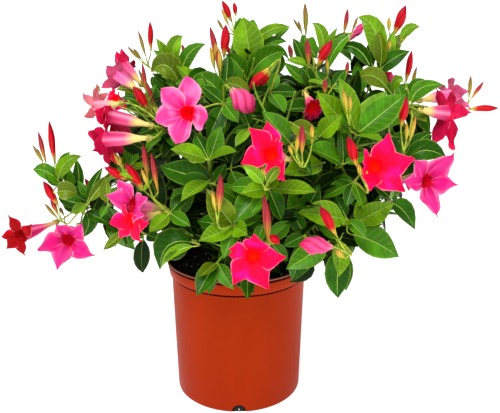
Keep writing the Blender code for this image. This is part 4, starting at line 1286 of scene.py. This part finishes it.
def petal_finish(name, throat, near, lobe, edge, patch):
    """A lobe's colours from its throat to its tip and across to its pale edges, with streaks and patches that
    are partly painted shade and sheen.
    """
    finish = Finish(name, 0.60, 0.06)
    reach, across, streak = (finish.fact(key) for key in ("reach", "across", "streak"))
    tone = finish.ramp(reach, ((0.0, throat), (0.12, near), (0.36, lobe), (1.0, lobe)))
    tone = finish.blend(finish.ranged(across, 0.0, 0.85, 0.5, 1.0), tone, edge)
    # The streaks are partly the lobe's own lines and partly painted shade and highlight of its ruffles.
    tone = finish.blend(finish.ranged(streak, 0.0, 0.70, 0.40, 1.0), tone, shaded(lobe, 0.52))
    tone = finish.blend(finish.ranged(streak, 0.55, 0.0, 0.0, 0.32), tone, edge)
    # The patches are partly the lobe's own colour and partly a painted sheen on the crests of its folds.
    glow = finish.ranged(finish.noise(62, 1), 0.0, 0.75, 0.48, 0.62)
    glow = finish.reckon("MULTIPLY", glow, finish.ranged(reach, 0.0, 1.0, 0.10, 0.30))
    glow = finish.reckon("MULTIPLY", glow, finish.ranged(reach, 1.0, 0.15, 0.50, 0.80))
    tone = finish.blend(glow, tone, patch)
    rim = finish.ranged(across, 0.0, 0.7, 0.86, 1.0)
    finish.colour(finish.blend(rim, tone, halfway(edge, (1.0, 0.55, 0.62))))
    finish.bump(finish.noise(320, 2, (1, 1, 0.4)), 0.0003, 0.4)
    return finish.material


def dish_finish(name, rim, core):
    """The colours inside a throat, from its rim to its bright core."""
    finish = Finish(name, 0.6, 0.05)
    finish.colour(finish.ramp(finish.fact("depth"), ((0.0, rim), (0.30, rim), (0.55, core), (1.0, core))))
    finish.bump(finish.noise(900, 2), 0.0002, 0.6)
    return finish.material


def tube_finish(name, mouth, middle, foot=(0.80, 0.60, 0.20), turn=0.66):
    """A funnel's colours from its mouth to its foot, with paler and darker streaks to the turn."""
    finish = Finish(name, 0.45, 0.10)
    depth = finish.fact("depth")
    streak = finish.fact("streak")
    tone = finish.ramp(depth, ((0.0, mouth), (turn - 0.20, middle), (turn, foot), (1.0, foot)))
    mouthward = finish.ranged(depth, 1.0, 0.0, turn - 0.20, turn)
    light = finish.reckon("MULTIPLY", finish.ranged(streak, 0.0, 0.40, 0.55, 1.0), mouthward)
    tone = finish.blend(light, tone, (1.0, 0.50, 0.62))
    dark = finish.reckon("MULTIPLY", finish.ranged(streak, 0.75, 0.0, 0.0, 0.45), mouthward)
    finish.colour(finish.blend(dark, tone, shaded(mouth, 0.62)))
    finish.bump(finish.noise(300, 2), 0.0002, 0.4)
    return finish.material


def pot_finish(name, colour):
    """Moulded plastic: satin, a little clouded, darker at its foot, with specks of dust."""
    finish = Finish(name, 0.42, 0.035)
    cloud = finish.noise(14, 4, (1, 1, 0.35))
    tone = finish.ramp(cloud, ((0.35, shaded(colour, 0.92)), (0.65, shaded(colour, 1.10))))
    low = finish.ranged(finish.height(), 0.55, 0.0, 0.0, 0.13)
    tone = finish.blend(low, tone, (colour[0] * 0.72, colour[1] * 0.55, colour[2] * 0.5))
    specks = finish.ranged(finish.noise(900, 2), 0.0, 0.6, 0.70, 0.82)
    finish.colour(finish.blend(specks, tone, shaded(colour, 1.5)))
    finish.rough(finish.ranged(finish.noise(35, 4, (1, 1, 0.3)), 0.38, 0.52))
    finish.bump(finish.noise(700, 2), 0.00012, 0.5)
    return finish.material


def soil_finish():
    """Peaty potting mix, painted almost black as shade low down, where it shows in the drain holes."""
    finish = Finish("potting_mix", 0.95)
    mix = finish.ramp(finish.noise(260, 6), ((0.30, (0.004, 0.003, 0.002)), (0.52, (0.022, 0.014, 0.009)),
                                             (0.72, (0.07, 0.045, 0.03))))
    # Painted shade: below the drain holes' tops the mix darkens to near black.
    hole_shade = finish.ranged(finish.height(), 1.0, 0.0, 0.012, 0.020)
    finish.colour(finish.blend(hole_shade, mix, (0.0012, 0.001, 0.001)))
    finish.bump(finish.noise(520, 5), 0.0020)
    return finish.material


def bark_finish():
    """Young stems: olive green with brown streaks, corky dots and fine lengthways relief."""
    finish = Finish("green_bark", 0.55)
    streaks = finish.noise(420, 4, (1, 1, 0.12))
    green = finish.ramp(streaks, ((0.35, (0.07, 0.085, 0.018)), (0.5, (0.20, 0.24, 0.04)),
                                  (0.68, (0.34, 0.36, 0.09))))
    brown = finish.ranged(finish.noise(46, 3), 0.0, 0.8, 0.46, 0.70)
    finish.colour(finish.blend(brown, green, (0.11, 0.055, 0.022)))
    finish.bump(streaks, 0.0006, 0.8)
    return finish.material


def lathe(name, profile, sides):
    """A turned form: a ring extruded and resized along its profile, closed at both ends."""
    bpy.ops.object.select_all(action="DESELECT")
    radius, height = profile[0]
    bpy.ops.mesh.primitive_circle_add(vertices=sides, radius=radius, location=(0, 0, height))
    piece = bpy.context.object
    piece.name = name
    piece.data.name = name
    bpy.ops.object.transform_apply(location=True, rotation=True, scale=True)
    bpy.ops.object.mode_set(mode="EDIT")
    bpy.ops.mesh.select_all(action="SELECT")
    bpy.ops.mesh.extrude_region_move()
    bpy.ops.mesh.merge(type="CENTER")
    bpy.ops.mesh.select_all(action="DESELECT")
    bpy.ops.object.mode_set(mode="OBJECT")
    for edge in piece.data.edges:
        edge.select = all(piece.data.vertices[i].co.xy.length > radius * 0.5 for i in edge.vertices)
    bpy.ops.object.mode_set(mode="EDIT")
    bpy.context.tool_settings.mesh_select_mode = (False, True, False)
    for (r0, z0), (r1, z1) in zip(profile, profile[1:]):
        bpy.ops.mesh.extrude_region_move(TRANSFORM_OT_translate={"value": (0, 0, z1 - z0)})
        bpy.ops.transform.resize(value=(r1 / r0, r1 / r0, 1), center_override=(0, 0, z1))
    bpy.ops.mesh.extrude_region_move()
    bpy.ops.mesh.merge(type="CENTER")
    bpy.ops.mesh.select_all(action="SELECT")
    bpy.ops.mesh.normals_make_consistent(inside=False)
    bpy.ops.object.mode_set(mode="OBJECT")
    return piece


def pick(piece):
    """Select a piece alone and make it the active one."""
    bpy.ops.object.select_all(action="DESELECT")
    piece.select_set(True)
    bpy.context.view_layer.objects.active = piece


def smooth_edges(piece, angle):
    """Smooth shading that breaks at edges sharper than an angle."""
    pick(piece)
    bpy.ops.object.shade_smooth_by_angle(angle=math.radians(angle))


GROWN = []


def plant_grown():
    """The plant, grown once for all its pieces."""
    if not GROWN:
        GROWN.append(grow())
    return GROWN[0]


# The pot's profile: radius and height along its outside, over its rim and down its inside
POT_OUTSIDE = ((0.0700, 0.0010), (0.0712, 0.0), (0.0730, 0.0005), (0.0739, 0.0014), (0.0743, 0.0030),
               (0.0755, 0.0450), (0.0769, 0.0950), (0.0784, 0.1455), (0.0781, 0.1458), (0.0778, 0.1470),
               (0.0779, 0.1481), (0.0806, 0.1484), (0.0811, 0.1490), (0.0823, 0.1560), (0.0833, 0.1608),
               (0.0832, 0.1612), (0.0828, 0.1618), (0.0829, 0.1633), (0.0839, 0.1638), (0.0842, 0.1643),
               (0.0842, 0.1650), (0.0839, 0.1653))
POT_INSIDE = ((0.0826, 0.1653), (0.0822, 0.1649), (0.0818, 0.1620), (0.0796, 0.1500), (0.0790, 0.1484),
              (0.0768, 0.1470), (0.0763, 0.1440), (0.0735, 0.0450), (0.0722, 0.0040), (0.0700, 0.0032))
# Heights of its grooves, darkened as painted shade, under the lip and under the rim's bead, of the bead,
# greyed as a painted reflection, and of the lowest part of its wall that shows above the soil
GROOVES = ((0.1456, 0.1482), (0.1609, 0.1637))
BEAD = 0.1637
WALL_SHOWS = SOIL_TOP - 0.006
# Its drain holes: turns in degrees, radius, height and distance of their middles, how deep they
# are cut, and the radius inside which their cut is darkened as painted shade
HOLE_TURNS = (-90, 30, 150)
HOLE_R = 0.008
HOLE_Z = 0.002
HOLE_OUT = 0.0775
HOLE_DEEP = 0.012
HOLE_DARK = 0.0725


class VINE_OT_pot(bpy.types.Operator):
    """Build the plastic pot with its lip, groove and drain holes"""

    bl_idname = "vine.pot"
    bl_label = "Pot"

    def execute(self, context):
        piece = lathe("pot_body", POT_OUTSIDE + POT_INSIDE, 96)
        for turn in HOLE_TURNS:
            a = math.radians(turn)
            spot = (math.cos(a) * HOLE_OUT, math.sin(a) * HOLE_OUT, HOLE_Z)
            bpy.ops.mesh.primitive_cylinder_add(vertices=32, radius=HOLE_R, depth=HOLE_DEEP, location=spot,
                                                rotation=(math.pi / 2, 0, a + math.pi / 2))
            cutter = context.object
            pick(piece)
            cut = piece.modifiers.new("drain_hole", "BOOLEAN")
            cut.operation = "DIFFERENCE"
            cut.solver = "EXACT"
            cut.object = cutter
            bpy.ops.object.modifier_apply(modifier=cut.name)
            bpy.data.objects.remove(cutter)
        smooth_edges(piece, 35)
        for name, tone in (("plastic", context.scene.vine_colours.pot), ("groove", (0.030, 0.001, 0.001)),
                           ("edge", (0.32, 0.10, 0.06)), ("inside", (0.020, 0.004, 0.002))):
            piece.data.materials.append(pot_finish("pot_" + name, tone))
        plastic, groove, edge, inside = range(4)
        for face in piece.data.polygons:
            spot = face.center
            outward = face.normal.xy.dot(spot.xy) > 0
            # Painted shade: faces in the grooves under the lip and under the bead take the near-black groove
            # finish.
            if outward and any(low < spot.z < high for low, high in GROOVES):
                face.material_index = groove
            # Painted reflection: the bead on top of the rim takes the greyer edge finish, for the grey
            # reflection along it.
            elif spot.z > BEAD:
                face.material_index = edge
            # Painted shade: the inner wall above the soil takes the near-black inside finish.
            elif spot.z > WALL_SHOWS and not outward:
                face.material_index = inside
            # Painted shade: the cut faces deep in the drain holes take the near-black inside finish too.
            elif spot.z < HOLE_Z + HOLE_R and spot.xy.length < HOLE_DARK:
                face.material_index = inside
            else:
                face.material_index = plastic
        finish_piece(piece, "pot", "pot")
        return {"FINISHED"}


# The soil's profile up the pot's wall, and where its top starts, ring by ring to the middle
SOIL_SIDE = [(0.0700, 0.0045), (0.0717, 0.0060), (0.0757, 0.1440), (0.0761, 0.1452)]
SOIL_RINGS = [(SOIL_SIDE[-1][0] - 0.0025 * i, 0.1462) for i in range(1, 30)]
# The height above which it is lumpy, and its pale grains: how many, how high and how far out
SOIL_BUMPY = 0.1455
GRAINS = 150
GRAIN_Z = 0.1468
GRAIN_OUT = 0.073
# The soil that shows in a drain hole: its middle's distance and height, and its half depth,
# width and height
PLUG_OUT = 0.0696
PLUG_Z = 0.0047
PLUG_HALF = (0.0038, 0.0076, 0.0044)


class VINE_OT_soil(bpy.types.Operator):
    """Build the potting mix with its lumps and pale grains"""

    bl_idname = "vine.soil"
    bl_label = "Soil"

    def execute(self, context):
        piece = lathe("soil_body", SOIL_SIDE + SOIL_RINGS, 120)
        rng = random.Random(7)
        for point in piece.data.vertices:
            if point.co.z > SOIL_BUMPY:
                spot = point.co * 90
                lump = noise.noise(spot) * 0.0022 + noise.noise(spot * 3.1) * 0.0012
                point.co.z += lump + rng.uniform(-0.0004, 0.0004)
        smooth_edges(piece, 50)
        piece.data.materials.append(soil_finish())
        finish_piece(piece, "soil", "soil")
        grains = Batch()

        def grain(spot, line, long, fat):
            grains.add(*spindle(spot, line, long, fat, 6, 4, 0.6, 0.2)[:2])

        for _ in range(GRAINS):
            r = GRAIN_OUT * math.sqrt(rng.random())
            a = rng.uniform(0, 2 * math.pi)
            size = rng.uniform(0.0005, 0.0013)
            spot = Vector((r * math.cos(a), r * math.sin(a), GRAIN_Z))
            grain(spot, aim(rng.uniform(0, 360), rng.uniform(-20, 50)), size * 2.2, size * 2)
        deep, wide, high = PLUG_HALF
        for turn in HOLE_TURNS:
            out = aim(turn, 0)
            aside = aim(turn + 90, 0)
            bpy.ops.mesh.primitive_uv_sphere_add(segments=20, ring_count=12, radius=1)
            plug = context.object
            plug.name = "soil_plug_%d" % (turn % 360)
            for point in plug.data.vertices:
                x, y, z = point.co
                point.co = out * (PLUG_OUT + deep * x) + aside * wide * y + UP * (PLUG_Z + high * z)
            plug.data.materials.append(piece.data.materials[0])
            finish_piece(plug, "soil")
            # A pale perlite grain sits in each drain hole, where it stands for the light showing through the
            # hole: painted light.
            grain(out * 0.0733 + UP * 0.0028, UP, 0.0020, 0.0020)
        grains.piece("soil_grains", plain_finish("perlite", (0.75, 0.73, 0.68), 0.9, 900, 0.1), "soil", ())
        return {"FINISHED"}


class VINE_OT_stems(bpy.types.Operator):
    """Build the stems and boughs with their bark's relief"""

    bl_idname = "vine.stems"
    bl_label = "Stems and boughs"

    def execute(self, context):
        batch = Batch()
        for path, radii in plant_grown().stems:
            fine = []
            thick = []
            for i in range(len(path) - 1):
                for t in (0.0, 0.34, 0.67):
                    fine.append(path[i].lerp(path[i + 1], t))
                    knot = 1.18 if t == 0.0 and i % 4 == 2 else 1.0
                    thick.append((radii[i] * (1 - t) + radii[i + 1] * t) * knot)
            points, faces = tube(fine + path[-1:], thick + radii[-1:], 14)
            relief = [noise.noise(Vector((x * 500, y * 500, z * 90))) * 0.00011 for x, y, z in points]
            batch.add(points + np.array(relief)[:, None], faces)
        batch.piece("stems_and_boughs", bark_finish(), "bark", ("stem_", "bough_"))
        return {"FINISHED"}


# Radii of a leaf's own stalk, and how far it reaches under the blade as a share of the leaf
LEAF_STALK_R = (0.0008, 0.0007, 0.0006)
LEAF_STALK_UNDER = 0.04


class VINE_OT_twigs(bpy.types.Operator):
    """Build the green shoots, flower stalks and leaf stalks"""

    bl_idname = "vine.twigs"
    bl_label = "Shoots and stalks"

    def execute(self, context):
        plant = plant_grown()
        shoots = Batch()
        for path, radii in plant.twigs:
            shoots.add(*tube(path, radii, 8))
        shoots.piece("shoots", plain_finish("shoot_green", (0.14, 0.26, 0.012), 0.45, 160, 0.35))
        stalks = Batch()
        for path, radii in plant.stalks:
            stalks.add(*tube(path, radii, 7))
        for leaf in plant.leaves:
            end = leaf.root + leaf.line * leaf.long * (STEMLET + LEAF_STALK_UNDER)
            middle = leaf.root.lerp(end, 0.5) - leaf.face * 0.0004
            stalks.add(*tube([leaf.root, middle, end], LEAF_STALK_R, 5))
        stalks.piece("stalks", plain_finish("stalk_green", (0.36, 0.46, 0.035), 0.45, 160, 0.35))
        return {"FINISHED"}


class VINE_OT_leaves(bpy.types.Operator):
    """Build the leaves in their tones, with their midribs"""

    bl_idname = "vine.leaves"
    bl_label = "Leaves"

    def execute(self, context):
        sizes = context.scene.vine_sizes
        colours = context.scene.vine_colours
        tones = {"l": "lime", "g": "green", "d": "deep", "o": "olive", "s": "shade"}
        rng = random.Random(sizes.seed + 1)
        blades = {tone: Batch() for tone in tones}
        ribs = {"leaf_ribs": Batch(), "leaf_ribs_shade": Batch()}
        faces = grid_faces(len(LEAF_STATIONS), len(LEAF_COLUMNS))
        across = np.tile(np.abs(LEAF_COLUMNS), len(LEAF_STATIONS))
        half = np.tile(np.sign(LEAF_COLUMNS) * 0.5 + 0.5, len(LEAF_STATIONS))
        down = np.repeat(LEAF_STATIONS, len(LEAF_COLUMNS))
        for leaf in plant_grown().leaves:
            points, face = leaf_points(leaf, sizes, rng)
            # Painted shade: one half of each leaf, picked at random, is marked to be darkened as the shaded
            # side of its fold.
            darker = half if rng.random() < 0.5 else 1 - half
            blades[leaf.tone].add(points, faces, across=across, along=down, half=darker)
            rib = ribs["leaf_ribs_shade" if leaf.tone == "s" else "leaf_ribs"]
            rib.add(*rib_points(points, face, leaf.long))
        for tone, name in tones.items():
            shine = 0.08 if tone in "ds" else 0.14
            blades[tone].piece("leaves_" + name, leaf_finish("leaf_" + name, getattr(colours, name), shine))
        # The shade leaves' midribs are darkened to under a third: painted shade.
        for name, share in (("leaf_ribs", 1.0), ("leaf_ribs_shade", 0.30)):
            ribs[name].piece(name, plain_finish("finish_" + name, shaded(colours.rib, share), 0.5, 200, 0.15))
        return {"FINISHED"}


# Colours of each kind of bloom. Its lobes: at the throat's edge, near it, further out (none where
# the user's own colour is taken), at their edges and in patches. Then their backs, the funnel's
# mouth and middle (for one kind its foot and its turn too), and the dish's rim and core
BLOOM_COLOURS = {
    "red": (((0.96, 0.0, 0.014), (0.95, 0.0, 0.022), None, (1.0, 0.0, 0.10), (1.0, 0.004, 0.24)),
            (0.80, 0.03, 0.13), ((0.88, 0.03, 0.16), (0.88, 0.08, 0.22)),
            ((0.96, 0.0, 0.014), (1.0, 0.012, 0.0))),
    "pink": (((0.9, 0.0, 0.01), (0.90, 0.0, 0.17), None, (0.96, 0.26, 0.52), (0.94, 0.24, 0.50)),
             (0.85, 0.14, 0.38), ((0.92, 0.10, 0.38), (0.92, 0.20, 0.40)),
             ((0.88, 0.0, 0.02), (0.86, 0.0, 0.003))),
    "rose": (((0.50, 0.0, 0.015), (0.58, 0.0, 0.12), (0.68, 0.025, 0.22), (0.86, 0.22, 0.44),
              (0.70, 0.0, 0.15)),
             (0.72, 0.11, 0.27), ((0.92, 0.08, 0.32), (0.92, 0.18, 0.38)),
             ((0.54, 0.0, 0.015), (0.56, 0.0, 0.012))),
    "hot": (((0.7, 0.0, 0.01), (0.68, 0.0, 0.04), (0.72, 0.0, 0.08), (0.84, 0.03, 0.22),
             (0.80, 0.06, 0.26)),
            (0.68, 0.006, 0.07), ((0.74, 0.03, 0.17), (0.84, 0.12, 0.28)),
            ((0.70, 0.0, 0.01), (0.70, 0.0, 0.012))),
    # The deep kind is a darker copy of the red one, most of all in its lobes and throat: painted shade for
    # the bloom that faces away from the light.
    "deep": (((0.36, 0.0, 0.0), (0.30, 0.0, 0.0), (0.30, 0.0, 0.003), (0.44, 0.0, 0.012),
              (0.50, 0.0, 0.01)),
             (0.70, 0.02, 0.14), ((0.62, 0.01, 0.12), (0.74, 0.04, 0.20), (0.55, 0.34, 0.14), 0.84),
             ((0.34, 0.0, 0.001), (0.30, 0.0, 0.004))),
    "pale": (((0.80, 0.03, 0.06), (0.80, 0.06, 0.12), (0.80, 0.16, 0.22), (0.88, 0.34, 0.42),
              (0.62, 0.08, 0.10)),
             (0.76, 0.22, 0.26), ((0.90, 0.22, 0.36), (0.90, 0.34, 0.38)),
             ((0.70, 0.01, 0.03), (0.62, 0.0, 0.02))),
}
BLOOM_PARTS = ("petals", "petal_backs", "tubes", "throats")
# A bloom's throat: its radius where the bloom is as wide as usual, and that of the deep kind.
# Then length and width of the calyx's lobes
THROAT_R = 0.0083
DEEP_THROAT_R = 0.0098
USUAL_WIDE = 0.06
CALYX_LONG = 0.007
CALYX_WIDE = 0.0024


def add_bloom(batches, calyces, bloom, rng):
    """Add one bloom's lobes, funnel, dish and calyx to their meshes."""
    colour, middle, root, line, roll, wide, tips = bloom
    petals, backs, tubes, dishes = (batches[part, colour] for part in BLOOM_PARTS)
    ahead = np.array(line)
    up = np.array((UP - line * line.z).normalized())
    right = np.cross(up, ahead)
    centre = np.array(middle)
    foot_at = np.array(root)
    ruffle = 0.20 if colour in ("hot", "pale", "rose") else 0.10
    throat = (DEEP_THROAT_R if colour == "deep" else THROAT_R) * math.sqrt(wide / USUAL_WIDE)
    shape = "star"
    if tips and colour == "pink":
        shape = "round"
    elif colour == "pale" or (colour == "hot" and wide > USUAL_WIDE):
        shape = "slim"
    faces = grid_faces(len(PETAL_REACH), len(PETAL_COLUMNS))
    for k in range(5):
        turn = math.radians(roll + 72 * k)
        tip = centre + (up * math.cos(turn) + right * math.sin(turn) + ahead * 0.17) * wide / 2
        if tips:
            tip = lobe_tip(tips[k], middle, line, wide / 2)
        front, back, shares, across, streaks = petal(centre, ahead, tip, throat * 0.74, shape, ruffle, rng)
        petals.add(front, faces, reach=shares, across=across, streak=streaks)
        backs.add(back, [face[::-1] for face in faces])
    points, rings, depth, streak = funnel(centre, ahead, up, foot_at, throat, FUNNEL, rng)
    tubes.add(points, rings, depth=depth, streak=streak)
    mouth = centre + ahead * 0.0003
    points, rings, depth, streak = funnel(mouth, ahead, up, foot_at, throat, DISH, rng)
    dishes.add(points, rings, depth=depth * 3, streak=streak)
    line = (middle - root).normalized()
    for k in range(5):
        a = math.radians(72 * k + 20)
        out = Vector(up * math.cos(a) + right * math.sin(a))
        foot = root + out * 0.0012 - line * 0.001
        calyces.add(*spindle(foot, line + out * 0.35, CALYX_LONG, CALYX_WIDE, 5, 5, 0.0, 0.0)[:2])


class VINE_OT_blooms(bpy.types.Operator):
    """Build the open flowers: five lobes, the funnel inside and out, and the calyx"""

    bl_idname = "vine.blooms"
    bl_label = "Blooms"

    def execute(self, context):
        batches = {(part, kind): Batch() for part in BLOOM_PARTS for kind in BLOOM_COLOURS}
        calyces = Batch()
        rng = random.Random(97)
        for bloom in plant_grown().blooms:
            add_bloom(batches, calyces, bloom, rng)
        for kind, (lobe, back, outside, inside) in BLOOM_COLOURS.items():
            lobe = [tone or tuple(getattr(context.scene.vine_colours, kind)) for tone in lobe]
            finishes = (petal_finish("lobe_" + kind, *lobe),
                        plain_finish("back_" + kind, back, 0.5, 150, 0.2, 0.15),
                        tube_finish("tube_" + kind, *outside), dish_finish("throat_" + kind, *inside))
            for part, finish in zip(BLOOM_PARTS, finishes):
                batches[part, kind].piece(part + "_" + kind, finish)
        calyces.piece("calyces", plain_finish("calyx_green", (0.34, 0.34, 0.04), 0.5, 200, 0.3))
        return {"FINISHED"}


# Colours of each kind of bud from its foot to its tip
BUD_FOOT = (0.72, 0.52, 0.06)
BUD_COLOURS = {
    "red": ((0.0, BUD_FOOT), (0.14, BUD_FOOT), (0.28, (0.68, 0.01, 0.01)), (0.7, (0.60, 0.0, 0.012)),
            (1.0, (0.26, 0.0, 0.02))),
    "salmon": ((0.0, BUD_FOOT), (0.28, (0.62, 0.30, 0.04)), (0.50, (0.50, 0.05, 0.05)),
               (1.0, (0.28, 0.01, 0.03))),
    "olive": ((0.0, (0.40, 0.40, 0.04)), (0.5, (0.36, 0.30, 0.04)), (1.0, (0.20, 0.04, 0.02))),
    "yellow": ((0.0, (0.45, 0.52, 0.04)), (0.6, (0.70, 0.50, 0.06)), (1.0, (0.45, 0.14, 0.03))),
    "pink": ((0.0, (0.80, 0.40, 0.30)), (0.15, (0.90, 0.10, 0.30)), (0.8, (0.88, 0.05, 0.22)),
             (1.0, (0.60, 0.0, 0.03))),
}


class VINE_OT_buds(bpy.types.Operator):
    """Build the flower buds in their colours"""

    bl_idname = "vine.buds"
    bl_label = "Buds"

    def execute(self, context):
        batches = {kind: Batch() for kind in BUD_COLOURS}
        for kind, root, line, long, fat in plant_grown().buds:
            rings, swirl, ridge = (11, 3.0, 0.12) if kind == "pink" else (9, 1.6, 0.08)
            points, faces, share, groove = spindle(root, line, long, fat, 10, rings, swirl, ridge)
            batches[kind].add(points, faces, along=share, groove=groove)
        for kind, batch in batches.items():
            batch.piece("buds_" + kind, bud_finish("bud_" + kind, BUD_COLOURS[kind]))
        return {"FINISHED"}


# The studio: size and glow of its floor, the point that its lights face, and each light's
# place, strength and softness in degrees
FLOOR_SIZE = 300
FLOOR_GLOW = 0.72
LIT_POINT = UP * 0.2
LIGHTS = {"key": ((-0.5, -1.3, 2.0), 2.5, 30), "fill": ((1.0, -1.4, 0.9), 0.3, 60)}


class VINE_OT_studio(bpy.types.Operator):
    """Build the floor, the soft light and the camera"""

    bl_idname = "vine.studio"
    bl_label = "Studio"

    def execute(self, context):
        bpy.ops.mesh.primitive_plane_add(size=FLOOR_SIZE, location=(0, 0, 0))
        floor = context.object
        floor.name = "studio_floor"
        white = Finish("studio_white", 0.9, 0.1)
        white.colour(white.ramp(white.noise(3), ((0.3, (0.745, 0.745, 0.745)), (0.7, (0.75, 0.75, 0.75)))))
        white.feed(white.shader.inputs["Emission Color"], (1.0, 1.0, 1.0))
        white.feed(white.shader.inputs["Emission Strength"], FLOOR_GLOW)
        floor.data.materials.append(white.material)
        world = bpy.data.worlds.new("studio_air")
        context.scene.world = world
        world.use_nodes = True
        nodes = world.node_tree.nodes
        air = nodes["Background"]
        air.inputs["Color"].default_value = (1.0, 1.0, 1.0, 1.0)
        split = nodes.new("ShaderNodeSeparateXYZ")
        level = nodes.new("ShaderNodeMapRange")
        for key, value in (("From Min", 0.15), ("From Max", 0.45), ("To Min", 1.0), ("To Max", 0.50)):
            level.inputs[key].default_value = value
        joins = world.node_tree.links
        joins.new(nodes.new("ShaderNodeTexCoord").outputs["Generated"], split.inputs["Vector"])
        joins.new(split.outputs["Z"], level.inputs["Value"])
        joins.new(level.outputs["Result"], air.inputs["Strength"])
        for name, (place, strength, softness) in LIGHTS.items():
            light = bpy.data.lights.new(name, "SUN")
            light.energy = strength
            light.angle = math.radians(softness)
            lamp = bpy.data.objects.new(name, light)
            context.collection.objects.link(lamp)
            lamp.location = place
            lamp.rotation_euler = (LIT_POINT - Vector(place)).to_track_quat("-Z", "Y").to_euler()
        view = bpy.data.cameras.new("main_view")
        view.lens = LENS
        view.sensor_width = SENSOR
        camera = bpy.data.objects.new("main_view", view)
        context.collection.objects.link(camera)
        camera.location = CAMERA_AT
        camera.rotation_euler = (math.pi / 2 - CAMERA_PITCH, 0, -CAMERA_PAN)
        context.scene.camera = camera
        context.scene.view_settings.view_transform = "Standard"
        return {"FINISHED"}


OPERATORS = (VINE_OT_pot, VINE_OT_soil, VINE_OT_stems, VINE_OT_twigs, VINE_OT_leaves, VINE_OT_blooms,
             VINE_OT_buds, VINE_OT_studio)


class VINE_PT_panel(bpy.types.Panel):
    """The vine's builders in the sidebar"""

    bl_label = "Potted Flowering Vine"
    bl_space_type = "VIEW_3D"
    bl_region_type = "UI"
    bl_category = "Flowering Vine"

    def draw(self, context):
        for operator in OPERATORS:
            self.layout.operator(operator.bl_idname)
        for group in (context.scene.vine_sizes, context.scene.vine_colours):
            for key in group.__annotations__:
                self.layout.prop(group, key)


CLASSES = (VineSizes, VineColours) + OPERATORS + (VINE_PT_panel,)


def register():
    for item in CLASSES:
        bpy.utils.register_class(item)
    bpy.types.Scene.vine_sizes = PointerProperty(type=VineSizes)
    bpy.types.Scene.vine_colours = PointerProperty(type=VineColours)


def unregister():
    del bpy.types.Scene.vine_colours
    del bpy.types.Scene.vine_sizes
    for item in reversed(CLASSES):
        bpy.utils.unregister_class(item)


def main():
    """Build every piece over the solids."""
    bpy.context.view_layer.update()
    register()
    for operator in OPERATORS:
        getattr(bpy.ops.vine, operator.bl_idname.split(".")[1])()


if __name__ == "__main__":
    main()
